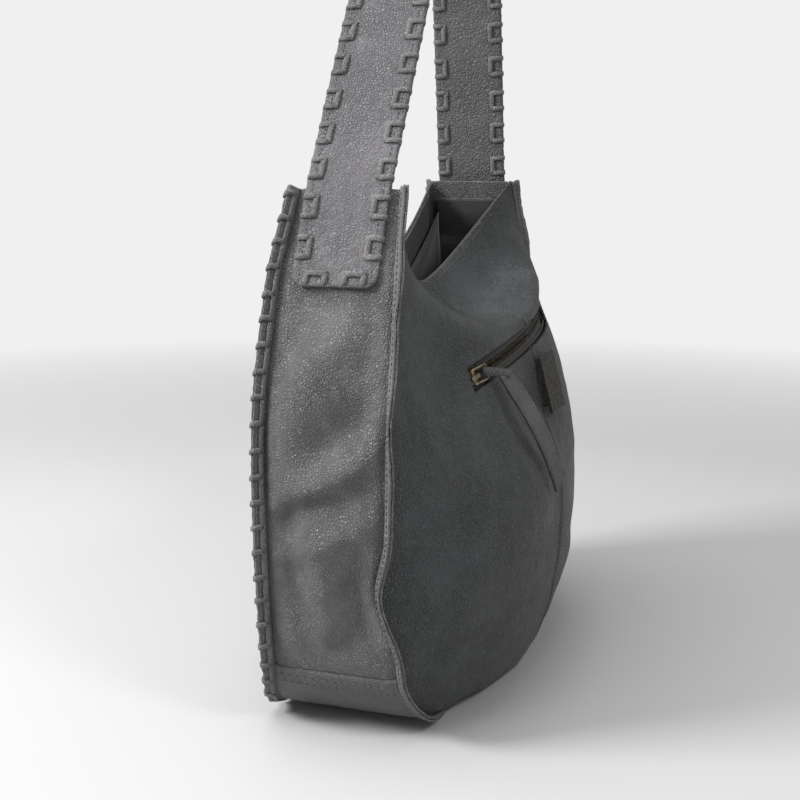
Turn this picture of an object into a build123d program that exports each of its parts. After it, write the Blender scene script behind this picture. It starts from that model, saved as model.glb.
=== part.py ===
from build123d import *
import os
from math import asin, cos, degrees, hypot, pi, radians, sin

# Slouchy leather hobo bag. Millimetres, +Z up, X along the bag's length, the zipped front faces -Y.
# The origin is the middle of the flat base, on the surface that the bag stands on.

# ---- driving dimensions ----
leather = 2.0           # bag leather, skived at the edges
lining_thick = 0.6      # woven lining cloth
horn_height = 350.0     # top of the two horns that the strap is sewn to
horn_x = 142.0          # half the distance between the horns

# Body shape, one row per level from the floor to the mouth:
# seam x, seam y, seam z, middle y, middle z, fullness in y, fullness in z, near-end slump in y and in z
front_rows = [
    (110.0, 50.0, 2.8, 77.0, 2.8, 2.0, 2.0, 0.0, 0.0),
    (150.0, 50.0, 13.0, 92.0, 16.0, 2.2, 2.5, 0.0, 0.0),
    (176.0, 43.0, 48.0, 102.0, 52.0, 2.8, 3.0, 0.0, 0.0),
    (187.0, 41.0, 100.0, 109.0, 100.0, 3.0, 3.0, 0.0, 0.0),
    (190.0, 41.0, 165.0, 107.0, 150.0, 3.0, 3.0, 2.0, 0.0),
    (186.0, 41.0, 220.0, 92.6, 195.4, 2.8, 3.0, 13.2, 14.9),
    (174.0, 40.0, 268.0, 82.2, 245.3, 1.84, 3.56, 5.3, 22.1),
    (165.0, 38.5, 300.0, 69.4, 258.3, 2.65, 2.2, 6.5, 12.7),
    (153.5, 36.5, 325.0, 32.0, 258.0, 2.2, 1.8, 4.0, 6.0),
    (horn_x, 34.5, horn_height, 4.0, 281.0, 2.2, 1.8, 0.0, 0.0),
]
rear_rows = [
    (110.0, 50.0, 2.8, 77.0, 2.8, 2.0, 2.0, 0.0, 0.0),
    (150.0, 50.0, 13.0, 88.0, 16.0, 2.0, 2.5, 4.0, 0.0),
    (176.0, 43.0, 48.0, 95.0, 52.0, 2.0, 3.0, 10.0, 0.0),
    (187.0, 41.0, 100.0, 99.0, 100.0, 2.0, 3.0, 14.0, 0.0),
    (190.0, 41.0, 165.0, 98.0, 152.0, 2.0, 3.0, 14.0, 0.0),
    (186.0, 41.0, 220.0, 95.0, 204.0, 2.0, 3.0, 12.0, 0.0),
    (174.0, 40.0, 268.0, 86.0, 246.0, 2.0, 3.0, 8.0, 0.0),
    (165.0, 38.5, 300.0, 73.0, 267.0, 2.0, 2.4, 3.0, 0.0),
    (153.5, 36.5, 325.0, 57.0, 276.0, 2.2, 2.0, 0.0, 0.0),
    (horn_x, 34.5, horn_height, 40.0, 284.0, 2.2, 1.9, 0.0, 0.0),
]
lining_front_rows = [
    (104.0, 44.0, 7.0, 68.0, 7.0, 2.0, 2.0, 0.0, 0.0),
    (144.0, 43.0, 19.0, 74.0, 18.0, 2.2, 2.5, 0.0, 0.0),
    (169.0, 36.0, 50.0, 68.0, 50.0, 2.6, 3.0, 0.0, 0.0),
    (180.0, 35.0, 100.0, 54.0, 86.0, 2.6, 3.0, 0.0, 0.0),
    (183.0, 35.0, 165.0, 45.0, 126.0, 2.4, 3.0, 0.0, 0.0),
    (179.0, 35.0, 215.0, 43.0, 170.0, 2.2, 3.0, 0.0, 0.0),
    (168.0, 33.0, 258.0, 42.0, 210.0, 2.2, 3.0, 0.0, 0.0),
    (160.0, 31.0, 286.0, 34.0, 232.0, 2.2, 2.6, 0.0, 0.0),
    (150.0, 29.5, 308.0, 14.0, 240.0, 2.2, 2.2, 0.0, 0.0),
    (143.0, 28.0, 324.0, -3.0, 250.0, 2.2, 1.9, 0.0, 0.0),
]
lining_rear_rows = [
    (104.0, 44.0, 7.0, 71.0, 7.0, 2.0, 2.0, 0.0, 0.0),
    (144.0, 43.0, 19.0, 78.0, 18.0, 2.0, 2.5, 3.0, 0.0),
    (169.0, 36.0, 50.0, 86.0, 52.0, 2.0, 3.0, 8.0, 0.0),
    (180.0, 35.0, 100.0, 91.0, 100.0, 2.0, 3.0, 12.0, 0.0),
    (183.0, 35.0, 165.0, 90.0, 150.0, 2.0, 3.0, 12.0, 0.0),
    (179.0, 35.0, 215.0, 86.0, 200.0, 2.0, 3.0, 10.0, 0.0),
    (168.0, 33.0, 258.0, 76.0, 236.0, 2.0, 3.0, 6.0, 0.0),
    (160.0, 31.0, 286.0, 60.0, 250.0, 2.0, 2.6, 2.0, 0.0),
    (150.0, 29.5, 308.0, 46.0, 256.0, 2.2, 2.2, 0.0, 0.0),
    (143.0, 28.0, 324.0, 34.0, 261.0, 2.2, 1.9, 0.0, 0.0),
]
base_level = 2 / 9      # level of the seam between a gusset and the base
gusset_swell = 6.0      # how far the gussets bulge at mid height
seam_inset = 3.2        # the gussets and base stop this far inside the seam line
base_flat = 110.0       # half-length of the flat part of the base
base_end_x = 176.5      # where the base meets the gusset
base_end_z = 48.0

# Seam edging: raw leather edges that stand proud along both long seams
edging_width = 6.0
edging_thick = 2.4
edging_out = [          # direction that the edging stands in: along the length, away from the middle, up
    (0.00, 1.00, 0.10),
    (0.40, 0.90, 0.00),
    (0.72, 0.68, -0.10),
    (0.80, 0.60, 0.00),
    (0.80, 0.60, 0.00),
    (0.80, 0.60, 0.00),
    (0.80, 0.60, 0.00),
    (0.80, 0.60, 0.05),
    (0.80, 0.60, 0.10),
    (0.80, 0.60, 0.10),
]
lace_width = 3.2
lace_thick = 0.9
seam_lace_pitch = 16.0

# Zip pocket in the front: the window follows a cylinder whose axis stands nearly upright inside the bag
zip_radius = 380.0
zip_middle = (21.5, -82.6, 244.6)
zip_rise = 5.6          # degrees, up towards +X
zip_lean = 18.0         # degrees, top leans back
window_half = 102.5     # half-length, measured about the bag's middle
window_height = 17.0
zip_sink = 1.2          # how far the zip's pieces are set back from the cylinder
tooth_pitch = 2.8
tooth_length = 1.6
slider_travel_end = 8.2  # the slider's middle stops this far from each end of the window

# Plate on the front
plate_size = (34.0, 42.0, 2.2)
plate_middle = (17.0, -95.6, 208.0)
plate_turn = -4.0       # degrees about the upright axis
plate_lean = 15.0       # degrees, top leans back

# Shoulder strap
strap_width = 55.0
strap_layer_thick = 1.6
strap_foot_x = 144.0    # middle line of the strap at the horn top
near_lean = 33.0        # degrees inward, -X side
far_lean = 8.0          # degrees inward, +X side
arch_radius = 60.0
fold_height = 385.0     # the strap folds over here, just above the horns
tail_bottom = 293.0
tail_top = 355.0
strap_lace_pitch = 26.0
strap_lace_length = 15.5
strap_lace_inset = 8.5

written = []


def save(name, shape):
    """Write one piece, as one STEP file named after it."""
    os.makedirs("parts", exist_ok=True)
    export_step(shape, "parts/" + name + ".step")
    written.append(name)


def between(rows, level):
    """Smooth values at a level from 0 to 1 between evenly spaced rows."""
    place = level * (len(rows) - 1)
    i = max(0, min(int(place), len(rows) - 2))
    f = place - i
    before = rows[max(i - 1, 0)]
    after = rows[min(i + 2, len(rows) - 1)]
    result = []
    for a, b, c, d in zip(before, rows[i], rows[i + 1], after):
        bend = (2 * a - 5 * b + 4 * c - d) * f * f + (3 * b - a - 3 * c + d) * f ** 3
        result.append(b + 0.5 * ((c - a) * f + bend))
    return result


# ---- the zip's own frame: X along the zip, Y inwards, Z across it and up ----
zip_tilt = Rot(-zip_lean, 0, 0) * Rot(0, -zip_rise, 0)
zip_frame = Pos(*zip_middle) * zip_tilt * Pos(0, zip_radius, 0)
zip_plane = Plane(zip_frame)
window_start = asin((-window_half - zip_middle[0]) / zip_radius)
window_end = asin((window_half - zip_middle[0]) / zip_radius)


def panel_point(rows, side, u, level):
    """Point of a front (side -1) or rear (side 1) panel; u runs from -1 to 1 along the bag."""
    seam_x, seam_y, seam_z, mid_y, mid_z, full_y, full_z, slump_y, slump_z = between(rows, level)
    wave = u * (1 - u * u)
    y = seam_y + (mid_y - seam_y) * (1 - abs(u) ** full_y) + slump_y * wave
    z = seam_z + (mid_z - seam_z) * (1 - abs(u) ** full_z) + slump_z * wave
    return Vector(seam_x * u, side * y, z)


def skin(grid, thickness, towards):
    """Closed solid of a curved sheet through a grid of points, thickened towards a direction."""
    face = Face.make_surface_from_array_of_points(grid, tol=0.05)
    return Solid.thicken(face, thickness, normal_override=towards)


def panel(rows, side, u_start, u_end, thickness, across=26, up=36):
    """Solid of a body panel between two places along the bag."""
    grid = []
    for j in range(up + 1):
        line = []
        for i in range(across + 1):
            u = u_start + (u_end - u_start) * i / across
            line.append(panel_point(rows, side, u, j / up))
        grid.append(line)
    return skin(grid, thickness, (0, -side, 0))


def gusset(end, inset, top, thickness):
    """Solid of a gusset; end is -1 or 1, inset moves it into the bag."""
    grid = []
    steps = 26
    for j in range(steps + 1):
        level = base_level + 0.004 + (top - base_level - 0.004) * j / steps
        seam_x, seam_y, seam_z = between(front_rows, level)[:3]
        swell = gusset_swell * sin(pi * min(1.0, (level - base_level) / 0.62)) ** 2
        half = seam_y - seam_inset - 0.6 * inset
        line = []
        for i in range(13):
            t = -1 + i / 6
            line.append(Vector(end * (seam_x - inset + swell * (1 - t * t)), t * half, seam_z))
        grid.append(line)
    return skin(grid, thickness, (-end, 0, 0))


def base_band(inset, thickness, end_z):
    """Long profile of the base, flat in the middle and rising in one arc to each gusset."""
    rise = base_end_z
    radius = ((base_end_x - base_flat) ** 2 + rise ** 2) / (2 * rise)
    edges = []
    for depth in (inset, inset + thickness):
        r = radius - depth
        turn = asin(min(1.0, (base_end_x - base_flat) / radius)) - radians(end_z)
        tip = (base_flat + r * sin(turn), radius - r * cos(turn))
        mid = (base_flat + r * sin(turn / 2), radius - r * cos(turn / 2))
        edges.append([(-tip[0], tip[1]), (-mid[0], mid[1]), (-base_flat, depth), (base_flat, depth), mid, tip])
    lower, upper = [[Vector(x, 0, z) for x, z in points] for points in edges]
    outline = Wire([
        Edge.make_three_point_arc(*lower[:3]),
        Edge.make_line(lower[2], lower[3]),
        Edge.make_three_point_arc(*lower[3:]),
        Edge.make_line(lower[5], upper[5]),
        Edge.make_three_point_arc(*reversed(upper[3:])),
        Edge.make_line(upper[3], upper[2]),
        Edge.make_three_point_arc(*reversed(upper[:3])),
        Edge.make_line(upper[0], lower[0]),
    ])
    return extrude(Face(outline), amount=90, dir=(0, 1, 0), both=True)


def base_plan(inset):
    """Upright block with the base's outline seen from above."""
    edge = []
    for step in range(-4, 5):
        edge.append((27.0 * step, 50 + 27 * (1 - (step / 4.07) ** 2) - inset))
    side = [(-178.0, 43.0 - inset), (-150.0, 49.0 - inset)] + edge + [(150.0, 49.0 - inset), (178.0, 43.0 - inset)]
    far = Spline(*[(x, y) for x, y in side])
    near = Spline(*[(x, -y) for x, y in side])
    ends = [Line(side[0], (side[0][0], -side[0][1])), Line(side[-1], (side[-1][0], -side[-1][1]))]
    return extrude(make_face([far, near] + ends), amount=70)


# ---- seam path, from the near horn down, along the base and up the far horn ----
def seam_station(side, place):
    """Point on a long seam and the direction that its edging stands in; place runs from 0 to 3."""
    if place < 1 or place > 2:
        end = -1 if place < 1 else 1
        level = 1 - place if place < 1 else place - 2
        seam_x, seam_y, seam_z = between(front_rows, level)[:3]
        out = between(edging_out, level)
        return Vector(end * seam_x, side * seam_y, seam_z), Vector(end * out[0], side * out[1], out[2])
    u = 2 * (place - 1) - 1
    out = edging_out[0]
    return panel_point(front_rows, side, u, 0), Vector(0, side * out[1], out[2])


def seam_frames(side, pitch, first=0.0, start=0.0, end=3.0):
    """Evenly spaced frames along a stretch of a seam: X along it, Z outwards."""
    count = 900
    places = [start + (end - start) * i / count for i in range(count + 1)]
    stations = [seam_station(side, place) for place in places]
    frames = []
    walked = pitch - first
    for i in range(1, count):
        walked += (stations[i][0] - stations[i - 1][0]).length
        if walked >= pitch:
            walked -= pitch
            along = (stations[i + 1][0] - stations[i - 1][0]).normalized()
            out = stations[i][1]
            out = (out - along * out.dot(along)).normalized()
            frames.append(Plane(origin=stations[i][0], x_dir=along, z_dir=out))
    return frames


def seam_edging(side):
    """Raw edges standing along a long seam: up one end, along the base and up the other end."""
    strips = []
    for start, end in ((0.0, 0.985), (1.015, 1.985), (2.015, 3.0)):
        frames = seam_frames(side, 9.0, 0.5, start, end)
        grid = []
        for frame in frames:
            line = []
            for reach in (0.8, 0.8 + edging_width / 2, 0.8 + edging_width):
                line.append(frame.from_local_coords(Vector(0, -edging_thick / 2, reach)))
            grid.append(line)
        strips.append(skin(grid, edging_thick, frames[len(frames) // 2].y_dir))
    return Compound(children=strips)


def lace_staple(gap, reach):
    """One turn of lace over an edge: a flat strap bent into a U."""
    outer = Box(lace_width, gap + 2 * lace_thick, reach + lace_thick, align=(Align.CENTER, Align.CENTER, Align.MIN))
    return outer - Box(lace_width + 1, gap, 2 * reach, align=(Align.CENTER, Align.CENTER, Align.CENTER))


def seam_lacing(side):
    """All the turns of lace over one seam edging."""
    staple = lace_staple(edging_thick + 0.2, edging_width + 0.9)
    turns = []
    for frame in seam_frames(side, seam_lace_pitch, first=6.0):
        if frame.origin.Z > 6:
            turns.append(frame.location * staple)
    return Compound(children=turns)


# ---- strap ----
def strap_frame():
    """Arch centre, tangent points and outward directions of the strap's middle line, in X and Z."""
    near_dir = (sin(radians(near_lean)), cos(radians(near_lean)))
    far_dir = (-sin(radians(far_lean)), cos(radians(far_lean)))
    near_out = (-near_dir[1], near_dir[0])
    far_out = (far_dir[1], -far_dir[0])
    dx = 2 * strap_foot_x + arch_radius * (near_out[0] - far_out[0])
    dz = arch_radius * (near_out[1] - far_out[1])
    det = -near_dir[0] * far_dir[1] + far_dir[0] * near_dir[1]
    run = (-dx * far_dir[1] + far_dir[0] * dz) / det
    tangent = (-strap_foot_x + run * near_dir[0], horn_height + run * near_dir[1])
    centre = (tangent[0] - arch_radius * near_out[0], tangent[1] - arch_radius * near_out[1])
    far_tangent = (centre[0] + arch_radius * far_out[0], centre[1] + arch_radius * far_out[1])
    return centre, tangent, far_tangent, near_dir, far_dir, near_out, far_out


def strap_band(inner, outer):
    """Strap layer between two offsets from the middle line, from below the fold to the arch and down."""
    centre, near_top, far_top, near_dir, far_dir, near_out, far_out = strap_frame()
    crown = (near_out[0] + far_out[0], near_out[1] + far_out[1])
    size = hypot(*crown)
    sides = []
    for offset in (inner, outer):
        feet = []
        for top, direction, out in ((near_top, near_dir, near_out), (far_top, far_dir, far_out)):
            run = (top[1] - tail_top) / direction[1]
            foot = (top[0] - direction[0] * run, top[1] - direction[1] * run)
            for point in (foot, top):
                feet.append(Vector(point[0] + out[0] * offset, 0, point[1] + out[1] * offset))
        reach = (arch_radius + offset) / size
        mid = Vector(centre[0] + crown[0] * reach, 0, centre[1] + crown[1] * reach)
        sides.append((feet[0], feet[1], mid, feet[3], feet[2]))
    a, b = sides
    outline = Wire([
        Edge.make_line(a[0], a[1]),
        Edge.make_three_point_arc(a[1], a[2], a[3]),
        Edge.make_line(a[3], a[4]),
        Edge.make_line(a[4], b[4]),
        Edge.make_line(b[4], b[3]),
        Edge.make_three_point_arc(b[3], b[2], b[1]),
        Edge.make_line(b[1], b[0]),
        Edge.make_line(b[0], a[0]),
    ])
    band = extrude(Face(outline), amount=strap_width / 2, dir=(0, 1, 0), both=True)
    fold = Pos(0, 0, fold_height)
    foot_cut = fold * Box(400, 80, 80, align=(Align.CENTER, Align.CENTER, Align.MAX))
    round_end = fold * Rot(0, 90, 0) * Cylinder(strap_width / 2, 400)
    return (band - foot_cut) + (band & round_end)


def strap_stations():
    """Frames of the lace loops along the strap: X along it, Z out of its outer face."""
    centre, near_top, far_top, near_dir, far_dir, near_out, far_out = strap_frame()
    near_run = (near_top[1] - fold_height) / near_dir[1]
    far_run = (far_top[1] - fold_height) / far_dir[1]
    sweep = pi - radians(near_lean + far_lean)
    total = near_run + arch_radius * sweep + far_run
    count = int((total - strap_lace_length) / strap_lace_pitch)
    start = (total - count * strap_lace_pitch) / 2
    frames = []
    for i in range(count + 1):
        walked = start + i * strap_lace_pitch
        if walked < near_run:
            back = near_run - walked
            place = (near_top[0] - near_dir[0] * back, near_top[1] - near_dir[1] * back)
            along, out = near_dir, near_out
        elif walked < near_run + arch_radius * sweep:
            turn = radians(near_lean) + (walked - near_run) / arch_radius
            along, out = (sin(turn), cos(turn)), (-cos(turn), sin(turn))
            place = (centre[0] + arch_radius * out[0], centre[1] + arch_radius * out[1])
        else:
            down = walked - near_run - arch_radius * sweep
            place = (far_top[0] - far_dir[0] * down, far_top[1] - far_dir[1] * down)
            along, out = (-far_dir[0], -far_dir[1]), far_out
        frames.append(Plane(origin=(place[0], 0, place[1]), x_dir=(along[0], 0, along[1]), z_dir=(out[0], 0, out[1])))
    return frames


def lace_loop(edge, half_thick):
    """One box-shaped loop of lace on a strap edge, showing on both faces; edge is -1 or 1."""
    lift = half_thick + lace_thick / 2
    inner_y = edge * (strap_width / 2 - strap_lace_inset)
    middle_y = edge * (strap_width / 2 - strap_lace_inset / 2 + 0.3)
    reach = strap_lace_inset + lace_thick + lace_width / 2
    loop = []
    for face in (-1, 1):
        loop.append(Pos(0, inner_y, face * lift) * Box(strap_lace_length, lace_width, lace_thick))
        for end in (-1, 1):
            x = end * (strap_lace_length - lace_width) / 2
            loop.append(Pos(x, middle_y, face * lift) * Box(lace_width, reach, lace_thick))
    for end in (-1, 1):
        x = end * (strap_lace_length - lace_width) / 2
        wrap = Pos(x, edge * (strap_width / 2 + lace_thick / 2), 0)
        loop.append(wrap * Box(lace_width, lace_thick, 2 * (half_thick + lace_thick)))
    return loop[0].fuse(*loop[1:])


def tail_frame(end):
    """Frame of a strap tail lying on a gusset: X up the tail, Z away from the bag."""
    low, high = (165.0, 300.0), (horn_x, horn_height)
    run = hypot(low[0] - high[0], high[1] - low[1])
    up = ((high[0] - low[0]) / run * end, (high[1] - low[1]) / run)
    out = (end * up[1], -end * up[0])
    middle_z = (tail_top + tail_bottom) / 2
    middle_x = low[0] + (middle_z - low[1]) * (high[0] - low[0]) / (high[1] - low[1])
    return Plane(origin=(end * middle_x, 0, middle_z), x_dir=(up[0], 0, up[1]), z_dir=(out[0], 0, out[1])), run


def strap_tail(end):
    """Double layer of strap leather sewn flat on the outside of a gusset."""
    frame, run = tail_frame(end)
    length = (tail_top - tail_bottom) * run / (horn_height - 300.0)
    thick = 2 * strap_layer_thick
    plate = Box(length, strap_width, thick, align=(Align.CENTER, Align.CENTER, Align.MIN))
    corners = plate.edges().filter_by(Axis.Z).sort_by(Axis.X)[:2]
    plate = chamfer(corners, 6.0)
    return frame.location * Pos(0, 0, 0.9) * plate


def tail_lacing(end):
    """Loops of lace along the two edges and the foot of a strap tail."""
    frame, run = tail_frame(end)
    loops = []
    for edge in (-1, 1):
        for x in (-16.0, 12.0):
            loops.append(Pos(x, 0, 0) * flat_loop(edge * strap_width / 2, edge))
    foot = -(tail_top - tail_bottom) * run / (horn_height - 300.0) / 2
    for y in (-12.0, 12.0):
        loops.append(Pos(0, y, 0) * Rot(0, 0, 90) * flat_loop(-foot, 1))
    return Compound(children=[frame.location * Pos(0, 0, 0.9 + 2 * strap_layer_thick) * loop for loop in loops])


def flat_loop(edge_y, edge):
    """Loop of lace on one face only, its open side towards the edge."""
    inner = Pos(0, edge_y - edge * strap_lace_inset, 0) * Box(strap_lace_length, lace_width, lace_thick)
    reach = strap_lace_inset - lace_width / 2 - 0.5
    loop = inner
    for end in (-1, 1):
        x = end * (strap_lace_length - lace_width) / 2
        middle = edge_y - edge * (reach / 2 + 0.5)
        loop = loop + Pos(x, middle, 0) * Box(lace_width, reach + 0.4, lace_thick)
    return Pos(0, 0, lace_thick / 2 + 0.05) * loop


# ---- zip pieces, as sectors about the zip's axis ----
def zip_sector(inner, outer, low, high, start=window_start, end=window_end):
    """Curved bar between two depths below the front's outer face and two heights across the zip."""
    r_out, r_in = zip_radius - zip_sink - outer, zip_radius - zip_sink - inner
    turns = (start, (start + end) / 2, end)
    far = [Vector(r_in * sin(a), -r_in * cos(a), low) for a in turns]
    near = [Vector(r_out * sin(a), -r_out * cos(a), low) for a in turns]
    outline = Wire([
        Edge.make_three_point_arc(*far),
        Edge.make_line(far[2], near[2]),
        Edge.make_three_point_arc(*reversed(near)),
        Edge.make_line(near[0], far[0]),
    ])
    return zip_frame * extrude(Face(outline), amount=high - low, dir=(0, 0, 1))


def at_zip(angle):
    """Place on the front's outer face along the zip: X along it, Y inwards, Z across and up."""
    return zip_frame * Rot(0, 0, degrees(angle)) * Pos(0, zip_sink - zip_radius, 0)


window = zip_sector(-14, 9, -window_height / 2, window_height / 2)
tape_depth = (4.0, 4.8)
tooth_depth = (3.1, 5.7)


def zip_teeth(sign):
    """One row of teeth on the inner edge of a zip tape; sign 1 is the upper row."""
    usable = (window_end - window_start) * zip_radius - 2 * 6.0
    count = int(usable / tooth_pitch)
    teeth = []
    for i in range(count):
        angle = window_start + (6.0 + (i + 0.25 + 0.25 * sign) * tooth_pitch) / zip_radius
        depth = (tooth_depth[0] + tooth_depth[1]) / 2
        tooth = Box(tooth_length, tooth_depth[1] - tooth_depth[0], 2.7)
        teeth.append(at_zip(angle) * Pos(0, depth, sign * 1.85) * tooth)
    return Compound(children=teeth)


slider_angle = window_start + slider_travel_end / zip_radius
slider_place = at_zip(slider_angle)


def slider():
    """Zip slider: two plates joined by a thin web, and a bridge that holds the bail."""
    top_plate = Pos(0, 2.0, 0) * Box(11, 1.2, 9.2)
    bottom_plate = Pos(0, 6.8, 0) * Box(11, 1.2, 9.2)
    body = top_plate + bottom_plate + Pos(-1, 4.4, 0) * Box(8, 4.0, 0.4)
    for sign in (-1, 1):
        body += Pos(0, 3.05, sign * 4.15) * Box(11, 1.1, 0.9)
        body += Pos(0, 5.75, sign * 4.15) * Box(11, 1.1, 0.9)
        body += Pos(sign * 4.3, 0.2, 0) * Box(1.4, 2.6, 2.6)
    body += Pos(0, -1.6, 0) * Box(10, 1.0, 2.6)
    return slider_place * fillet(body.edges().filter_by(Axis.Y).group_by(SortBy.LENGTH)[0], 0.3)


bail_pin = slider_place * Pos(0, 0.15, 0)      # middle of the bail's bar, under the bridge
bail_turn = -16.0                              # degrees, the bail's far end stands off the zip
bail_frame = bail_pin * Rot(0, 0, bail_turn)
bail_length = 12.0
bail_width = 9.6
wire_radius = 0.75


def bail():
    """Wire ring that joins the slider to the leather pull."""
    ring = None
    for x in (0, bail_length):
        bar = Pos(x, 0, 0) * Cylinder(wire_radius, bail_width)
        ring = bar if ring is None else ring + bar
    for z in (-bail_width / 2, bail_width / 2):
        ring += Pos(bail_length / 2, 0, z) * Rot(0, 90, 0) * Cylinder(wire_radius, bail_length)
        for x in (0, bail_length):
            ring += Pos(x, 0, z) * Sphere(wire_radius)
    return bail_frame * ring


tab_pin = bail_frame * Pos(bail_length, 0, 0)
tab_path = [            # inner face of the leather pull, lying on the bulge of the front
    (-77.4, -81.6, 229.4),
    (-71.1, -91.8, 213.5),
    (-61.6, -100.8, 193.9),
    (-51.5, -107.6, 174.3),
    (-42.8, -112.4, 156.1),
    (-38.7, -114.2, 147.1),
]
tab_width = 13.0
tab_thick = 2.6
tab_out = Vector(-0.42, -0.90, 0.10)


def pull_tab():
    """Leather strip folded round the bail's bar."""
    start = tab_pin.position
    points = [Vector(*p) for p in tab_path]
    first = (points[0] - start).normalized()
    grid = []
    steps = 24
    for j in range(steps + 1):
        point = Vector(*between(tab_path, j / steps))
        ahead = Vector(*between(tab_path, min(1.0, j / steps + 0.01)))
        behind = Vector(*between(tab_path, max(0.0, j / steps - 0.01)))
        side = (ahead - behind).cross(tab_out).normalized()
        half = tab_width / 2 * (0.62 + 0.38 * min(1.0, 5 * j / steps))
        grid.append([point + side * (half * w) for w in (-1, -0.5, 0, 0.5, 1)])
    strip = skin(grid, tab_thick, tab_out)
    loop_axis = first.cross(tab_out).normalized()
    ring_plane = Plane(origin=start, x_dir=first, z_dir=loop_axis)
    neck_end = (points[0] - start).length + 1.5
    ring = Cylinder(3.3, 2.6)
    ring += Pos(neck_end / 2 + 0.6, 0, 0) * Box(neck_end - 1.0, tab_thick, 2.6)
    ring -= Cylinder(2.4, 6)
    return strip.fuse(ring_plane.location * ring)


def curved_pocket(depth, low, high):
    """Upright sheet of pocket lining, curved like the front, a depth behind the zip's middle."""
    radius = zip_radius - depth
    turns = (window_start - 0.015, 0, window_end + 0.02)
    far = [Vector(radius * sin(a), -radius * cos(a), 0) for a in turns]
    near = [Vector((radius - lining_thick) * sin(a), -(radius - lining_thick) * cos(a), 0) for a in turns]
    outline = Wire([
        Edge.make_three_point_arc(*far),
        Edge.make_line(far[2], near[2]),
        Edge.make_three_point_arc(*reversed(near)),
        Edge.make_line(near[0], far[0]),
    ])
    sheet = extrude(Face(outline), amount=high - low, dir=(0, 0, 1))
    return Pos(zip_middle[0], zip_middle[1] + zip_radius, low) * sheet


def facing(rows, side, depth, drop):
    """Leather strip that hangs inside a mouth hem."""
    grid = []
    for j in range(7):
        line = []
        for i in range(31):
            u = -0.86 + 1.72 * i / 30
            point = panel_point(rows, side, u, 1)
            line.append(point + Vector(0, -side * depth, -3 - drop * j / 6))
        grid.append(line)
    return skin(grid, 1.2, (0, -side, 0))


def snap(y, towards, z, stud):
    """Half of a round magnetic snap on a mouth facing."""
    disc = Cylinder(8.5, 1.6, align=(Align.CENTER, Align.CENTER, Align.MIN))
    disc += Cylinder(6.0, 2.6, align=(Align.CENTER, Align.CENTER, Align.MIN))
    if stud:
        disc += Pos(0, 0, 2.6) * Cylinder(2.2, 1.6, align=(Align.CENTER, Align.CENTER, Align.MIN))
    else:
        disc -= Pos(0, 0, 0.8) * Cylinder(2.5, 3, align=(Align.CENTER, Align.CENTER, Align.MIN))
    return Pos(0, y, z) * Rot(-90 * towards, 0, 0) * disc


def plate():
    """Plain metal plate with four prongs that hold it to the leather."""
    body = Box(*plate_size[:2], plate_size[2], align=(Align.CENTER, Align.CENTER, Align.MIN))
    body = fillet(body.edges().filter_by(Axis.Z), 1.5)
    body = chamfer(body.faces().sort_by(Axis.Z)[-1].edges(), 0.5)
    for x in (-12, 12):
        for y in (-15, 15):
            body += Pos(x, y, -3.6) * Box(2.2, 1.0, 8.0)
    stand = Pos(*plate_middle) * Rot(0, 0, plate_turn) * Rot(90 - plate_lean, 0, 0)
    return stand * body


# ---- body leather ----
seam_gap = 0.2 / horn_x
print("front")
for name, u_start, u_end in (("front_panel_left", -1, -seam_gap), ("front_panel_right", seam_gap, 1)):
    half_front = panel(front_rows, -1, u_start, u_end, leather, across=18, up=40)
    save(name, half_front - window)
save("rear_panel", panel(rear_rows, 1, -1, 1, leather))
for name, end in (("gusset_left", -1), ("gusset_right", 1)):
    save(name, gusset(end, 0, 1.0, leather))
save("base_panel", base_band(0, leather, 0.5) & base_plan(seam_inset))
save("front_seam_edging", seam_edging(-1))
save("rear_seam_edging", seam_edging(1))
save("rear_seam_lacing", seam_lacing(1))

# ---- inside ----
print("inside")
save("front_facing", facing(front_rows, -1, leather + 0.8, 26.0))
save("rear_facing", facing(rear_rows, 1, leather + 0.8, 26.0))
save("front_lining", panel(lining_front_rows, -1, -1, 1, lining_thick))
save("rear_lining", panel(lining_rear_rows, 1, -1, 1, lining_thick))
for name, end in (("gusset_lining_left", -1), ("gusset_lining_right", 1)):
    save(name, gusset(end, 5.0, 0.93, lining_thick))
save("base_lining", base_band(5.0, lining_thick, 2.0) & base_plan(8.5))
save("snap_stud", snap(0.6, 1, 263.0, True))
save("snap_socket", snap(35.4, -1, 266.0, False))

# ---- zip pocket ----
print("zip pocket")
frame_outer = zip_sector(2.4, 3.6, -13.0, 13.0, window_start - 0.010, window_end + 0.010)
frame_inner = zip_sector(1.5, 5.0, -5.6, 5.6, window_start + 0.004, window_end - 0.004)
save("pocket_welt", frame_outer - frame_inner)
save("zip_tape_upper", zip_sector(*tape_depth, 0.6, 14.0))
save("zip_tape_lower", zip_sector(*tape_depth, -14.0, -0.6))
save("zip_teeth_upper", zip_teeth(1))
save("zip_teeth_lower", zip_teeth(-1))
save("pocket_lining_front", curved_pocket(10.5, 130.0, 229.0))
save("pocket_lining_rear", curved_pocket(13.0, 130.0, 249.0))
save("plate", plate())

# ---- zip slider and pull ----
save("zip_slider", slider())
save("pull_bail", bail())
save("pull_tab", pull_tab())

# ---- strap ----
print("strap")
half_strap = strap_layer_thick + 0.05
save("strap_leather", strap_band(0.05, half_strap))
save("strap_backing", strap_band(-half_strap, -0.05))
for name, edge in (("strap_lacing_front", -1), ("strap_lacing_rear", 1)):
    loop = lace_loop(edge, half_strap + 0.1)
    save(name, Compound(children=[frame.location * loop for frame in strap_stations()]))
for name, lacing_name, end in (
    ("strap_tail_left", "tail_lacing_left", -1),
    ("strap_tail_right", "tail_lacing_right", 1),
):
    save(name, strap_tail(end))
    save(lacing_name, tail_lacing(end))

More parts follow.
